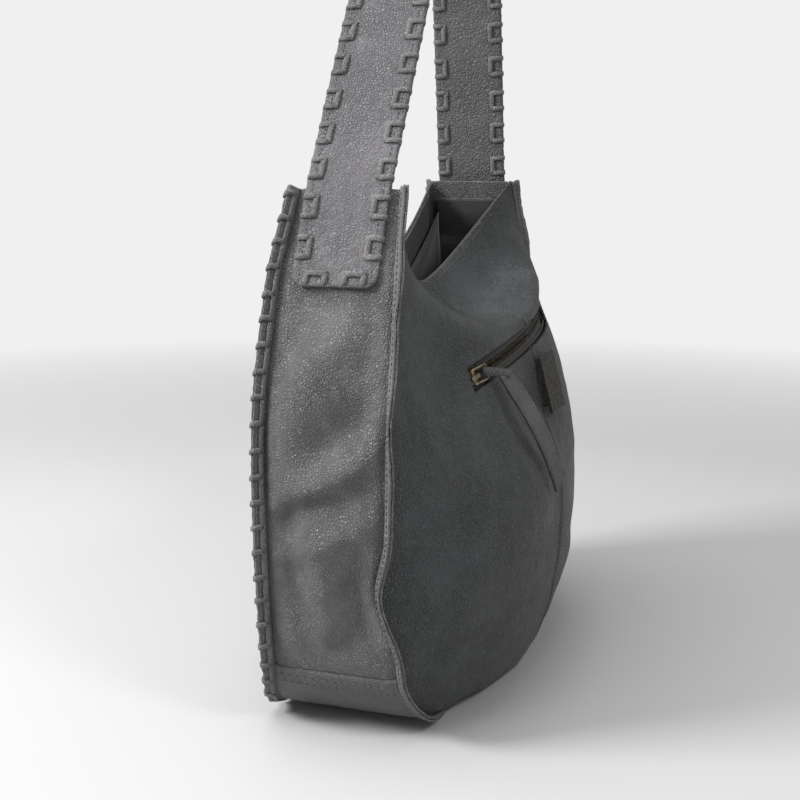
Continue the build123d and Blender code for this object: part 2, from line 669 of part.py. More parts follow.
# ---- numbers that the record needs ----
across_zip = zip_plane.z_dir
print(len(written), "pieces")
print("zip axis through", zip_plane.origin, "along", across_zip)
print("slider travel, degrees", degrees(window_end - window_start - 2 * slider_travel_end / zip_radius))
print("bail pin", bail_pin.position, "tab pin", tab_pin.position)
outward = Plane(slider_place).y_dir * -1
print("outward at slider", outward)
print("strap arch", strap_frame()[0])
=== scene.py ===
from math import asin, atan2, cos, exp, hypot, pi, radians, sin

import bmesh
import bpy
from mathutils import Euler, Matrix, Vector, noise


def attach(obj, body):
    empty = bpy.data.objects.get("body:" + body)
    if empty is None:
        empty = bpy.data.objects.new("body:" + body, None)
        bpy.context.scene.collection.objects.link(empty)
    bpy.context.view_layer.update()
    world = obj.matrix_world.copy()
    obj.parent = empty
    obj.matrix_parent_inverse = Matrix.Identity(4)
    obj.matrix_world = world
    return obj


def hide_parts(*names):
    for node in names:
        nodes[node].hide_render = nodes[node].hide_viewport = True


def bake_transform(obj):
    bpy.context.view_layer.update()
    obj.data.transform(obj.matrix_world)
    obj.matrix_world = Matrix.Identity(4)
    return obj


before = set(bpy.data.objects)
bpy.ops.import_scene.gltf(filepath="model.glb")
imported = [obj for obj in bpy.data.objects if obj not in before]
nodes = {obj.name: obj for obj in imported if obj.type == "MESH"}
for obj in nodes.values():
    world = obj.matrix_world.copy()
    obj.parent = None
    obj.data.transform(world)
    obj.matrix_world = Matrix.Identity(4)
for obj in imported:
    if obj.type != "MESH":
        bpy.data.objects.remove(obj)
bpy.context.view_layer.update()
mm = 0.001
print("frame loaded")

# body shape in millimetres, one row per level from the floor to the mouth:
# seam x, seam y, seam z, middle y, middle z, fullness in y and z, near-end slump in y and z
frontRows = [
    (110.0, 50.0, 2.8, 77.0, 2.8, 2.0, 2.0, 0.0, 0.0),
    (150.0, 50.0, 13.0, 92.0, 16.0, 2.2, 2.5, 0.0, 0.0),
    (176.0, 43.0, 48.0, 102.0, 52.0, 2.8, 3.0, 0.0, 0.0),
    (187.0, 41.0, 100.0, 109.0, 100.0, 3.0, 3.0, 0.0, 0.0),
    (190.0, 41.0, 165.0, 107.0, 150.0, 3.0, 3.0, 2.0, 0.0),
    (186.0, 41.0, 220.0, 92.6, 195.4, 2.8, 3.0, 13.2, 14.9),
    (174.0, 40.0, 268.0, 82.2, 245.3, 1.84, 3.56, 5.3, 22.1),
    (165.0, 38.5, 300.0, 69.4, 258.3, 2.65, 2.2, 6.5, 12.7),
    (153.5, 36.5, 325.0, 32.0, 258.0, 2.2, 1.8, 4.0, 6.0),
    (142.0, 34.5, 350.0, 4.0, 281.0, 2.2, 1.8, 0.0, 0.0),
]
rearRows = [
    (110.0, 50.0, 2.8, 77.0, 2.8, 2.0, 2.0, 0.0, 0.0),
    (150.0, 50.0, 13.0, 88.0, 16.0, 2.0, 2.5, 4.0, 0.0),
    (176.0, 43.0, 48.0, 95.0, 52.0, 2.0, 3.0, 10.0, 0.0),
    (187.0, 41.0, 100.0, 99.0, 100.0, 2.0, 3.0, 14.0, 0.0),
    (190.0, 41.0, 165.0, 98.0, 152.0, 2.0, 3.0, 14.0, 0.0),
    (186.0, 41.0, 220.0, 95.0, 204.0, 2.0, 3.0, 12.0, 0.0),
    (174.0, 40.0, 268.0, 86.0, 246.0, 2.0, 3.0, 8.0, 0.0),
    (165.0, 38.5, 300.0, 73.0, 267.0, 2.0, 2.4, 3.0, 0.0),
    (153.5, 36.5, 325.0, 57.0, 276.0, 2.2, 2.0, 0.0, 0.0),
    (142.0, 34.5, 350.0, 40.0, 284.0, 2.2, 1.9, 0.0, 0.0),
]
liningFrontRows = [
    (104.0, 44.0, 7.0, 68.0, 7.0, 2.0, 2.0, 0.0, 0.0),
    (144.0, 43.0, 19.0, 74.0, 18.0, 2.2, 2.5, 0.0, 0.0),
    (169.0, 36.0, 50.0, 68.0, 50.0, 2.6, 3.0, 0.0, 0.0),
    (180.0, 35.0, 100.0, 54.0, 86.0, 2.6, 3.0, 0.0, 0.0),
    (183.0, 35.0, 165.0, 45.0, 126.0, 2.4, 3.0, 0.0, 0.0),
    (179.0, 35.0, 215.0, 43.0, 170.0, 2.2, 3.0, 0.0, 0.0),
    (168.0, 33.0, 258.0, 42.0, 210.0, 2.2, 3.0, 0.0, 0.0),
    (160.0, 31.0, 286.0, 34.0, 232.0, 2.2, 2.6, 0.0, 0.0),
    (150.0, 29.5, 308.0, 14.0, 240.0, 2.2, 2.2, 0.0, 0.0),
    (143.0, 28.0, 324.0, -3.0, 250.0, 2.2, 1.9, 0.0, 0.0),
]
liningRearRows = [
    (104.0, 44.0, 7.0, 71.0, 7.0, 2.0, 2.0, 0.0, 0.0),
    (144.0, 43.0, 19.0, 78.0, 18.0, 2.0, 2.5, 3.0, 0.0),
    (169.0, 36.0, 50.0, 86.0, 52.0, 2.0, 3.0, 8.0, 0.0),
    (180.0, 35.0, 100.0, 91.0, 100.0, 2.0, 3.0, 12.0, 0.0),
    (183.0, 35.0, 165.0, 90.0, 150.0, 2.0, 3.0, 12.0, 0.0),
    (179.0, 35.0, 215.0, 86.0, 200.0, 2.0, 3.0, 10.0, 0.0),
    (168.0, 33.0, 258.0, 76.0, 236.0, 2.0, 3.0, 6.0, 0.0),
    (160.0, 31.0, 286.0, 60.0, 250.0, 2.0, 2.6, 2.0, 0.0),
    (150.0, 29.5, 308.0, 46.0, 256.0, 2.2, 2.2, 0.0, 0.0),
    (143.0, 28.0, 324.0, 34.0, 261.0, 2.2, 1.9, 0.0, 0.0),
]
edgingOut = [  # way the raw edges stand: along the bag, away from its middle, up
    (0.00, 1.00, 0.10), (0.40, 0.90, 0.00), (0.72, 0.68, -0.10), (0.80, 0.60, 0.00), (0.80, 0.60, 0.00),
    (0.80, 0.60, 0.00), (0.80, 0.60, 0.00), (0.80, 0.60, 0.05), (0.80, 0.60, 0.10), (0.80, 0.60, 0.10),
]
bodyShape = {
    "baseLevel": 2 / 9, "gussetSwell": 6.0, "leather": 2.0, "seamTuck": 0.6,
    "frontGrid": (196, 150), "rearGrid": (170, 150), "gussetGrid": (70, 190), "baseGrid": (150, 60),
}
nearSeam = {"end": -120, "dip": (106, 24), "dipIn": 8.0, "dipAlong": 2.0, "bulge": (62, 16), "bulgeOut": 2.5}
zipShape = {
    "radius": 380.0, "middle": (21.5, -82.6, 244.6), "rise": 5.6, "lean": 18.0, "half": 102.5, "sink": 1.2,
    "cut": 8.5, "calmLength": 125, "calmHeight": 14, "calmFade": 22,
}


def rowAt(rows, level):  # smooth values between the rows
    place = level * (len(rows) - 1)
    i = max(0, min(int(place), len(rows) - 2))
    f = place - i
    before, after = rows[max(i - 1, 0)], rows[min(i + 2, len(rows) - 1)]
    result = []
    for a, b, c, d in zip(before, rows[i], rows[i + 1], after):
        bend = (2 * a - 5 * b + 4 * c - d) * f * f + (3 * b - a - 3 * c + d) * f ** 3
        result.append(b + 0.5 * ((c - a) * f + bend))
    return result


def panelPoint(rows, side, u, level):  # side -1 is the front, 1 the rear
    seamX, seamY, seamZ, midY, midZ, fullY, fullZ, slumpY, slumpZ = rowAt(rows, level)
    wave = u * (1 - u * u)
    y = seamY + (midY - seamY) * (1 - abs(u) ** fullY) + slumpY * wave
    z = seamZ + (midZ - seamZ) * (1 - abs(u) ** fullZ) + slumpZ * wave
    return Vector((seamX * u, side * y, z))


def gussetPoint(end, t, level):
    seamX, seamY, seamZ = rowAt(frontRows, level)[:3]
    rise = min(1.0, (level - bodyShape["baseLevel"]) / 0.62)
    swell = bodyShape["gussetSwell"] * sin(pi * rise) ** 2
    half = seamY - bodyShape["seamTuck"]
    return Vector((end * (seamX + swell * (1 - t * t)), t * half, seamZ))


def seamPull(point, share):  # the near front seam is drawn in low down; share is 1 at the seam
    if point.x > nearSeam["end"]:
        return Vector((0, 0, 0))
    low, high = (exp(-((point.z - z) / spread) ** 2) for z, spread in (nearSeam["dip"], nearSeam["bulge"]))
    inwards = nearSeam["dipIn"] * low - nearSeam["bulgeOut"] * high
    return Vector((nearSeam["dipAlong"] * low, inwards, 0)) * share


def normalAt(place, u, w, away, step=0.004):
    a, b = place(min(u + step, 1), w), place(max(u - step, 0), w)
    c, d = place(u, min(w + step, 1)), place(u, max(w - step, 0))
    out = (a - b).cross(c - d)
    out.normalize()
    return out if out.dot(Vector(away)) > 0 else -out


def foldHeight(point, folds):  # each fold: middle, direction, half-length, half-width, height
    total = 0.0
    for middle, direction, reach, width, height in folds:
        off = point - Vector(middle)
        run = off.dot(Vector(direction).normalized())
        across = max(off.length_squared - run * run, 0.0)
        total += height * exp(-(run / reach) ** 2 - across / width ** 2)
    return total


def waviness(point, small=0.35, large=1.3):
    broad = noise.noise(point * 0.020) + 0.5 * noise.noise(point * 0.043)
    fine = noise.noise(Vector((point.x * 0.11, point.y * 0.11, point.z * 0.07)))
    return large * broad + small * fine


def newObject(name, bm, material):
    mesh = bpy.data.meshes.new(name)
    bm.to_mesh(mesh)
    bm.free()
    mesh.polygons.foreach_set("use_smooth", [True] * len(mesh.polygons))
    obj = bpy.data.objects.new(name, mesh)
    bpy.context.collection.objects.link(obj)
    mesh.materials.append(material)
    return obj


def sheetMesh(grid, place, away):  # a grid laid onto a surface; place takes 0 to 1 twice, in millimetres
    bm = bmesh.new()
    bmesh.ops.create_grid(bm, x_segments=grid[0], y_segments=grid[1], size=0.5)
    uvMap = bm.loops.layers.uv.new("surface")
    flat = {v: (v.co.x + 0.5, v.co.y + 0.5) for v in bm.verts}
    for face in bm.faces:
        for loop in face.loops:
            loop[uvMap].uv = flat[loop.vert]
    for v, (u, w) in flat.items():
        v.co = place(u, w) * mm
    bm.normal_update()
    facing = sum(face.normal.dot(Vector(away)) * face.calc_area() for face in bm.faces)
    if facing < 0:
        bmesh.ops.reverse_faces(bm, faces=bm.faces[:])
    return bm


def thicken(obj, thickness, offset=-1.0, materialShift=0):
    solid = obj.modifiers.new("thickness", "SOLIDIFY")
    solid.thickness = thickness * mm
    solid.offset = offset
    solid.use_even_offset = True
    solid.material_offset = materialShift
    return solid


def settle(obj, body, slotName, *replaced):
    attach(obj, body)
    if replaced:
        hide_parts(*replaced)


def makePiece(name, bm, finish, thickness, slotName, *replaced, body="bag_body", offset=-1.0):
    obj = newObject(name, bm, finishes[finish])
    thicken(obj, thickness, offset)
    settle(obj, body, slotName, *replaced)
    return obj


def groupShell(name, inputs, outputs):
    group = bpy.data.node_groups.new(name, "ShaderNodeTree")
    for label, kind, value in inputs:
        made = group.interface.new_socket(name=label, in_out="INPUT", socket_type=kind)
        if value is not None:
            made.default_value = value
    for label, kind in outputs:
        group.interface.new_socket(name=label, in_out="OUTPUT", socket_type=kind)
    start = group.nodes.new("NodeGroupInput")
    end = group.nodes.new("NodeGroupOutput")
    return group, start, end


def mathNode(tree, operation, a, b):
    made = tree.nodes.new("ShaderNodeMath")
    made.operation = operation
    for i, value in enumerate((a, b)):
        if isinstance(value, (int, float)):
            made.inputs[i].default_value = value
        else:
            tree.links.new(value, made.inputs[i])
    return made.outputs[0]


def addScaled(tree, a, shareA, b, shareB):
    return mathNode(tree, "ADD", mathNode(tree, "MULTIPLY", a, shareA), mathNode(tree, "MULTIPLY", b, shareB))


def noiseNode(tree, vector, scale, detail=3.0, rough=0.55):
    made = tree.nodes.new("ShaderNodeTexNoise")
    made.inputs["Detail"].default_value = detail
    made.inputs["Roughness"].default_value = rough
    if isinstance(scale, (int, float)):
        made.inputs["Scale"].default_value = scale
    else:
        tree.links.new(scale, made.inputs["Scale"])
    tree.links.new(vector, made.inputs["Vector"])
    return made.outputs["Fac"]


def remap(tree, value, low, high, toLow=0.0, toHigh=1.0):
    made = tree.nodes.new("ShaderNodeMapRange")
    made.inputs["From Min"].default_value = low
    made.inputs["From Max"].default_value = high
    made.inputs["To Min"].default_value = toLow
    made.inputs["To Max"].default_value = toHigh
    tree.links.new(value, made.inputs["Value"])
    return made.outputs["Result"]


def makeLeatherGrain():  # pebbles parted by creases, finer pores, slow colour drift, and painted shade that darkens the creases
    group, start, end = groupShell(
        "leatherGrain",
        [("Vector", "NodeSocketVector", None), ("Pebbles per metre", "NodeSocketFloat", 420.0),
         ("Pull", "NodeSocketFloat", 0.5)],
        [("Height", "NodeSocketFloat"), ("Shade", "NodeSocketFloat"), ("Polish", "NodeSocketFloat")])
    where = start.outputs["Vector"]
    warp = group.nodes.new("ShaderNodeTexNoise")
    warp.inputs["Scale"].default_value = 130.0
    warp.inputs["Detail"].default_value = 2.0
    group.links.new(where, warp.inputs["Vector"])
    shift = group.nodes.new("ShaderNodeVectorMath")
    shift.operation = "MULTIPLY_ADD"
    shift.inputs[1].default_value = (0.0045, 0.0045, 0.0045)
    group.links.new(warp.outputs["Color"], shift.inputs[0])
    group.links.new(where, shift.inputs[2])
    pebbles = group.nodes.new("ShaderNodeTexVoronoi")
    pebbles.feature = "DISTANCE_TO_EDGE"
    group.links.new(shift.outputs[0], pebbles.inputs["Vector"])
    group.links.new(start.outputs["Pebbles per metre"], pebbles.inputs["Scale"])
    crease = remap(group, pebbles.outputs["Distance"], 0.0, 0.26)
    large = noiseNode(group, where, 16.0, 3.0, 0.6)
    depth = remap(group, large, 0.36, 0.62, 0.25, 1.0)  # some areas are pulled smooth
    pores = noiseNode(group, where, 1500.0, 2.0)
    creased = mathNode(group, "MULTIPLY", crease, depth)
    fine = mathNode(group, "MULTIPLY", pores, 0.22)
    rippled = noiseNode(group, shift.outputs[0], 190.0, 3.0, 0.6)
    ripple = mathNode(group, "MULTIPLY", rippled, start.outputs["Pull"])
    height = mathNode(group, "ADD", mathNode(group, "ADD", creased, fine), ripple)
    group.links.new(height, end.inputs["Height"])
    drift = noiseNode(group, where, 9.0, 4.0, 0.65)
    patch = noiseNode(group, where, 55.0, 4.0, 0.7)
    shade = addScaled(group, drift, 0.55, patch, 0.3)
    # pebble tops lighter and the creases between them darker: painted crease shade added to the random colour
    # drift
    shade = mathNode(group, "ADD", shade, mathNode(group, "MULTIPLY", creased, 0.18))
    group.links.new(remap(group, shade, 0.30, 0.78), end.inputs["Shade"])
    group.links.new(addScaled(group, patch, 0.5, crease, 0.3), end.inputs["Polish"])
    return group


def makeClothWeave():  # crossed threads with slubs
    group, start, end = groupShell(
        "clothWeave",
        [("Vector", "NodeSocketVector", None), ("Threads per metre", "NodeSocketFloat", 1400.0)],
        [("Height", "NodeSocketFloat"), ("Shade", "NodeSocketFloat")])
    heights = []
    for direction in ("X", "Z"):
        wave = group.nodes.new("ShaderNodeTexWave")
        wave.bands_direction = direction
        wave.inputs["Distortion"].default_value = 0.6
        group.links.new(start.outputs["Vector"], wave.inputs["Vector"])
        density = mathNode(group, "MULTIPLY", start.outputs["Threads per metre"], 0.32)
        group.links.new(density, wave.inputs["Scale"])
        heights.append(wave.outputs["Fac"])
    group.links.new(mathNode(group, "MAXIMUM", *heights), end.inputs["Height"])
    slub = noiseNode(group, start.outputs["Vector"], 90.0, 4.0, 0.7)
    group.links.new(remap(group, addScaled(group, slub, 0.7, heights[0], 0.3), 0.25, 0.75), end.inputs["Shade"])
    return group


def makeMetalWear():  # tarnish in patches, rubbed bright spots and fine scratches
    group, start, end = groupShell(
        "metalWear",
        [("Vector", "NodeSocketVector", None), ("Patches per metre", "NodeSocketFloat", 160.0)],
        [("Tarnish", "NodeSocketFloat"), ("Scratch", "NodeSocketFloat")])
    patches = noiseNode(group, start.outputs["Vector"], start.outputs["Patches per metre"], 4.0, 0.65)
    group.links.new(remap(group, patches, 0.36, 0.62), end.inputs["Tarnish"])
    stretch = group.nodes.new("ShaderNodeMapping")
    stretch.inputs["Scale"].default_value = (1.0, 1.0, 14.0)
    group.links.new(start.outputs["Vector"], stretch.inputs["Vector"])
    group.links.new(noiseNode(group, stretch.outputs["Vector"], 420.0, 3.0), end.inputs["Scratch"])
    return group


leatherGrain = makeLeatherGrain()
clothWeave = makeClothWeave()
metalWear = makeMetalWear()


def materialShell(name, group, settings):
    made = bpy.data.materials.new(name)
    made.use_nodes = True
    tree = made.node_tree
    shader = tree.nodes["Principled BSDF"]
    where = tree.nodes.new("ShaderNodeTexCoord")
    effect = tree.nodes.new("ShaderNodeGroup")
    effect.node_tree = group
    tree.links.new(where.outputs["Object"], effect.inputs["Vector"])
    for label, value in settings.items():
        effect.inputs[label].default_value = value
    return made, tree, shader, effect


def colourBetween(tree, factor, dark, light):
    made = tree.nodes.new("ShaderNodeMix")
    made.data_type = "RGBA"
    made.inputs["A"].default_value = (*dark, 1)
    made.inputs["B"].default_value = (*light, 1)
    tree.links.new(factor, made.inputs["Factor"])
    return made.outputs["Result"]


def bumpFrom(tree, shader, height, strength, distance):
    bump = tree.nodes.new("ShaderNodeBump")
    bump.inputs["Strength"].default_value = strength
    bump.inputs["Distance"].default_value = distance
    tree.links.new(height, bump.inputs["Height"])
    tree.links.new(bump.outputs["Normal"], shader.inputs["Normal"])


def leatherMaterial(name, dark, light, pebbles, pull=0.5, bump=0.7, rough=(0.42, 0.6), sheen=0.08):
    made, tree, shader, grain = materialShell(name, leatherGrain, {"Pebbles per metre": pebbles, "Pull": pull})
    tree.links.new(colourBetween(tree, grain.outputs["Shade"], dark, light), shader.inputs["Base Color"])
    gloss = remap(tree, grain.outputs["Polish"], 0.2, 0.7, rough[1], rough[0])
    tree.links.new(gloss, shader.inputs["Roughness"])
    shader.inputs["Sheen Weight"].default_value = sheen
    shader.inputs["Sheen Roughness"].default_value = 0.5
    shader.inputs["Specular IOR Level"].default_value = 0.42
    bumpFrom(tree, shader, grain.outputs["Height"], bump, 0.0016)
    return made


def clothMaterial(name, dark, light, threads=1400.0):
    made, tree, shader, weave = materialShell(name, clothWeave, {"Threads per metre": threads})
    tree.links.new(colourBetween(tree, weave.outputs["Shade"], dark, light), shader.inputs["Base Color"])
    tree.links.new(remap(tree, weave.outputs["Height"], 0.0, 1.0, 0.9, 0.72), shader.inputs["Roughness"])
    shader.inputs["Sheen Weight"].default_value = 0.25
    bumpFrom(tree, shader, weave.outputs["Height"], 0.5, 0.0003)
    return made


def metalMaterial(name, dark, light, rough=(0.28, 0.55), patches=160.0):
    made, tree, shader, wear = materialShell(name, metalWear, {"Patches per metre": patches})
    tree.links.new(colourBetween(tree, wear.outputs["Tarnish"], dark, light), shader.inputs["Base Color"])
    gloss = remap(tree, wear.outputs["Tarnish"], 0.0, 1.0, rough[1], rough[0])
    tree.links.new(gloss, shader.inputs["Roughness"])
    shader.inputs["Metallic"].default_value = 0.9
    bumpFrom(tree, shader, wear.outputs["Scratch"], 0.25, 0.0002)
    return made


finishes = {
    # the front is the bag's one leather painted darker: painted shade for the side that faces away from the key
    # light
    "front": leatherMaterial(
        "frontLeatherPaintedShade", (0.028, 0.031, 0.033), (0.074, 0.080, 0.084), 560.0, 1.1, 1.0, (0.34, 0.54)),
    "rear": leatherMaterial(
        "rearLeather", (0.044, 0.047, 0.050), (0.104, 0.107, 0.112), 560.0, 1.1, 1.0, (0.36, 0.56)),
    # the gussets are the bag's one leather painted lighter: painted light for the end that faces the key light
    "gusset": leatherMaterial(
        "gussetLeatherPaintedLight", (0.060, 0.061, 0.064), (0.215, 0.212, 0.219), 600.0, 1.2, 0.8, (0.32, 0.52)),
    "base": leatherMaterial("baseLeather", (0.076, 0.075, 0.078), (0.176, 0.172, 0.176), 640.0, 1.1, 0.7),
    "edge": leatherMaterial(
        "rawEdgeLeather", (0.080, 0.078, 0.079), (0.200, 0.192, 0.190), 700.0, 1.4, 1.0, (0.7, 0.9), 0.3),
    "facing": leatherMaterial("facingLeather", (0.050, 0.050, 0.054), (0.100, 0.100, 0.105), 520.0),
    "welt": leatherMaterial("weltLeather", (0.012, 0.012, 0.013), (0.040, 0.039, 0.040), 700.0),
    "pull": leatherMaterial("pullLeather", (0.060, 0.061, 0.065), (0.135, 0.135, 0.140), 620.0, 0.8),
    "strap": leatherMaterial("strapLeather", (0.090, 0.086, 0.092), (0.200, 0.192, 0.202), 560.0, 1.6, 0.8),
    "backing": leatherMaterial(
        "backingLeather", (0.060, 0.059, 0.063), (0.120, 0.117, 0.122), 420.0, 0.9, 0.7),
    "lacing": leatherMaterial(
        "lacingLeather", (0.085, 0.082, 0.082), (0.300, 0.289, 0.282), 900.0, 2.4, 1.0, (0.75, 0.95), 0.35),
    "lining": clothMaterial("liningCloth", (0.030, 0.028, 0.030), (0.058, 0.054, 0.057)),
    "pocket": clothMaterial("pocketCloth", (0.034, 0.030, 0.030), (0.062, 0.056, 0.055)),
    "tape": clothMaterial("zipTape", (0.022, 0.018, 0.015), (0.058, 0.048, 0.041), 2200.0),
    "thread": clothMaterial("thread", (0.050, 0.050, 0.052), (0.100, 0.099, 0.102), 5000.0),
    "brass": metalMaterial("agedBrass", (0.16, 0.12, 0.075), (0.52, 0.42, 0.28)),
    "teeth": metalMaterial("zipTeeth", (0.030, 0.026, 0.021), (0.115, 0.095, 0.070), (0.4, 0.6), 400.0),
    "plate": metalMaterial("darkPlate", (0.040, 0.036, 0.031), (0.085, 0.076, 0.064), (0.42, 0.6), 420.0),
    "snap": metalMaterial("snapMetal", (0.16, 0.14, 0.11), (0.42, 0.37, 0.30)),
}
print("materials made")

# folds that the leather has taken, in millimetres: middle, direction, half-length, half-width, height
gussetFolds = {
    -1: [
        ((-182, 2, 248), (0, 0.60, -0.80), 44, 15, 8.0), ((-186, 18, 206), (0, 0.25, -0.97), 34, 13, 6.5),
        ((-184, 28, 256), (0, 0.3, -1), 36, 12, -4.5), ((-190, -18, 210), (0, -0.75, 0.66), 36, 13, -6.5),
        ((-193, -8, 180), (0, -0.85, 0.5), 38, 13, 7.0), ((-194, 10, 158), (0, -0.9, 0.42), 40, 10, -6.0),
        ((-195, -2, 140), (0, -0.9, 0.4), 36, 12, 6.0), ((-194, 20, 118), (0, 0.15, 1), 36, 12, -5.5),
        ((-193, 2, 94), (0, 0.1, 1), 36, 12, 7.0), ((-191, -24, 104), (0, 0.25, 1), 34, 11, -5.0),
        ((-188, -10, 66), (0, -0.7, 0.6), 28, 9, -3.0), ((-186, 26, 74), (0, 0.4, 0.8), 26, 11, 4.0),
        ((-176, -24, 276), (0, 0.1, 1), 32, 10, -3.4), ((-172, 6, 284), (0, 1, 0.1), 28, 7, -2.6),
    ],
    1: [
        ((184, -4, 246), (0, -0.6, 0.8), 40, 14, 7.0), ((192, 12, 196), (0, 0.8, 0.5), 34, 12, -5.6),
        ((194, -8, 160), (0, 0.9, 0.4), 34, 13, 6.0), ((190, 16, 112), (0, 0.3, 1), 38, 12, -5.0),
        ((188, -16, 92), (0, -0.5, 0.8), 34, 12, 5.4),
    ],
}
frontFolds = [
    ((-152, -62, 262), (0.5, -0.3, -0.8), 36, 10, -3.4), ((-166, -54, 226), (0.25, -0.2, -0.95), 44, 9, 3.0),
    ((-140, -80, 96), (0.25, 0, 1), 50, 13, 3.0), ((-160, -62, 60), (0.6, 0, 0.8), 36, 9, -4.0),
    ((-118, -88, 42), (0.9, 0, 0.3), 34, 9, 3.2), ((118, -60, 292), (-0.7, 0.2, -0.6), 30, 9, -4.0),
    ((96, -62, 276), (-0.8, 0, -0.5), 34, 9, 3.4), ((140, -66, 244), (0.4, 0, -1), 34, 10, -3.0),
    ((60, -96, 60), (1, 0, 0.15), 60, 13, 3.0), ((146, -76, 120), (0.1, 0, 1), 50, 13, -3.2),
    ((-30, -46, 262), (1, 0, 0.1), 60, 8, -2.4), ((-176, -52, 108), (0, 0.3, 1), 30, 10, -4.0),
]
rearFolds = [
    ((-120, 74, 250), (0.7, 0, -0.6), 40, 11, -3.6), ((110, 80, 246), (-0.7, 0, -0.6), 40, 11, -3.6),
    ((-60, 90, 210), (1, 0, -0.35), 60, 12, 3.0), ((50, 94, 216), (1, 0, 0.3), 60, 12, 2.8),
    ((-150, 58, 110), (0.15, 0, 1), 56, 12, -3.4), ((150, 70, 120), (-0.15, 0, 1), 56, 12, -3.0),
    ((0, 92, 50), (1, 0, 0.05), 90, 12, 2.8), ((-30, 98, 150), (0.9, 0, 0.4), 60, 14, 2.6),
]

zipTurn = Matrix.Rotation(radians(-zipShape["lean"]), 4, "X")
zipTurn = zipTurn @ Matrix.Rotation(radians(-zipShape["rise"]), 4, "Y")
zipFrame = Matrix.Translation(zipShape["middle"]) @ zipTurn @ Matrix.Translation((0, zipShape["radius"], 0))
windowStart = asin((-zipShape["half"] - zipShape["middle"][0]) / zipShape["radius"])
windowEnd = asin((zipShape["half"] - zipShape["middle"][0]) / zipShape["radius"])


def zipPoint(angle, height, depth):  # depth is measured inwards from the front's outer face
    reach = zipShape["radius"] - zipShape["sink"] - depth
    return zipFrame @ Vector((reach * sin(angle), -reach * cos(angle), height))


def cutWindow(bm, start, end, low, high):  # removes a window that follows the zip
    turn = zipFrame.to_3x3()
    planes = [(zipPoint(0, height, 0) * mm, (turn @ Vector((0, 0, 1))).normalized()) for height in (low, high)]
    for angle in (start, end):
        planes.append((zipPoint(angle, 0, 0) * mm, (turn @ Vector((cos(angle), sin(angle), 0))).normalized()))
    for point, normal in planes:
        near = [f for f in bm.faces if (f.calc_center_median() - zipPoint(0, 0, 0) * mm).length < 0.14]
        edges = {e for f in near for e in f.edges}
        verts = {v for f in near for v in f.verts}
        bmesh.ops.bisect_plane(bm, geom=near + list(edges) + list(verts), plane_co=point, plane_no=normal)
    inside = zipFrame.inverted()
    gone = []
    for face in bm.faces:
        local = inside @ (face.calc_center_median() / mm)
        angle = atan2(local.x, -local.y)
        off = abs(hypot(local.x, local.y) - zipShape["radius"])
        if low < local.z < high and start < angle < end and off < 14:
            gone.append(face)
    bmesh.ops.delete(bm, geom=gone, context="FACES")


def nearZip(point):  # 0 beside the zip, 1 well away from it
    local = zipFrame.inverted() @ point
    along = max(abs(local.x) - zipShape["calmLength"], 0)
    return min(1.0, max(0.0, (hypot(local.z, along) - zipShape["calmHeight"]) / zipShape["calmFade"]))


def leatherPlace(rows, side, folds):
    def bare(u, w):
        return panelPoint(rows, side, 2 * u - 1, w)

    def place(u, w):
        point = bare(u, w)
        out = normalAt(bare, u, w, (0, side, 0.3))
        calm = min(1.0, 9 * u, 9 * (1 - u), 14 * w, 10 * (1 - w))
        if side < 0:
            calm *= nearZip(point)
            seam = abs(point.x)
            lift = -0.9 * exp(-(seam / 1.1) ** 2) + 0.35 * exp(-((seam - 3.6) / 2.2) ** 2)  # centre seam
        else:
            lift = 0.0
        pulled = seamPull(point, max(0.0, 1 - 7 * u) ** 2) if side < 0 else Vector((0, 0, 0))
        return point + pulled + out * (calm * (foldHeight(point, folds) + waviness(point)) + lift)
    return place


print("front and rear leather")
frontPlace = leatherPlace(frontRows, -1, frontFolds)
bm = sheetMesh(bodyShape["frontGrid"], frontPlace, (0, -1, 0.3))
cutWindow(bm, windowStart, windowEnd, -zipShape["cut"], zipShape["cut"])
makePiece(
    "frontPanel", bm, "front", bodyShape["leather"], "front_leather", "front_panel_left", "front_panel_right")

rearPlace = leatherPlace(rearRows, 1, rearFolds)
makePiece(
    "rearPanel", sheetMesh(bodyShape["rearGrid"], rearPlace, (0, 1, 0.3)),
    "rear", bodyShape["leather"], "rear_leather", "rear_panel")

print("gussets and base")
for end, name, node in ((-1, "gussetNear", "gusset_left"), (1, "gussetFar", "gusset_right")):
    def bareGusset(u, w, end=end):
        level = bodyShape["baseLevel"] - 0.004 + (1.004 - bodyShape["baseLevel"]) * w
        return gussetPoint(end, 2 * u - 1, level)

    def gussetPlace(u, w, end=end):
        point = bareGusset(u, w)
        out = normalAt(bareGusset, u, w, (end, 0, 0))
        calm = min(1.0, 5 * u, 5 * (1 - u), 12 * w, 7 * (1 - w))
        tuck = -1.6 * exp(-(min(u, 1 - u) / 0.05) ** 2)  # leather turns in beside the seams
        pulled = seamPull(point, max(0.0, 1 - 2.4 * u) ** 1.5) if end < 0 else Vector((0, 0, 0))
        folded = foldHeight(point, gussetFolds[end]) + waviness(point, 0.6, 2.2)
        return point + pulled + out * (calm * folded + tuck)

    makePiece(
        name, sheetMesh(bodyShape["gussetGrid"], gussetPlace, (end, 0, 0)),
        "gusset", bodyShape["leather"], "gusset_leather", node)

baseShape = {"flat": 110.0, "endX": 176.5, "endZ": 48.0, "edgeTuck": 0.8, "flatShare": 0.56}


def baseStation(s):  # seam x, y and z for s from -1 to 1 along the base
    share = abs(s) / baseShape["flatShare"]
    if share <= 1:
        point = panelPoint(frontRows, 1, share * (1 if s > 0 else -1), 0)
        return point.x, point.y, point.z
    level = (abs(s) - baseShape["flatShare"]) / 0.44 * bodyShape["baseLevel"]
    seamX, seamY, seamZ = rowAt(frontRows, level)[:3]
    return (seamX if s > 0 else -seamX), seamY, seamZ


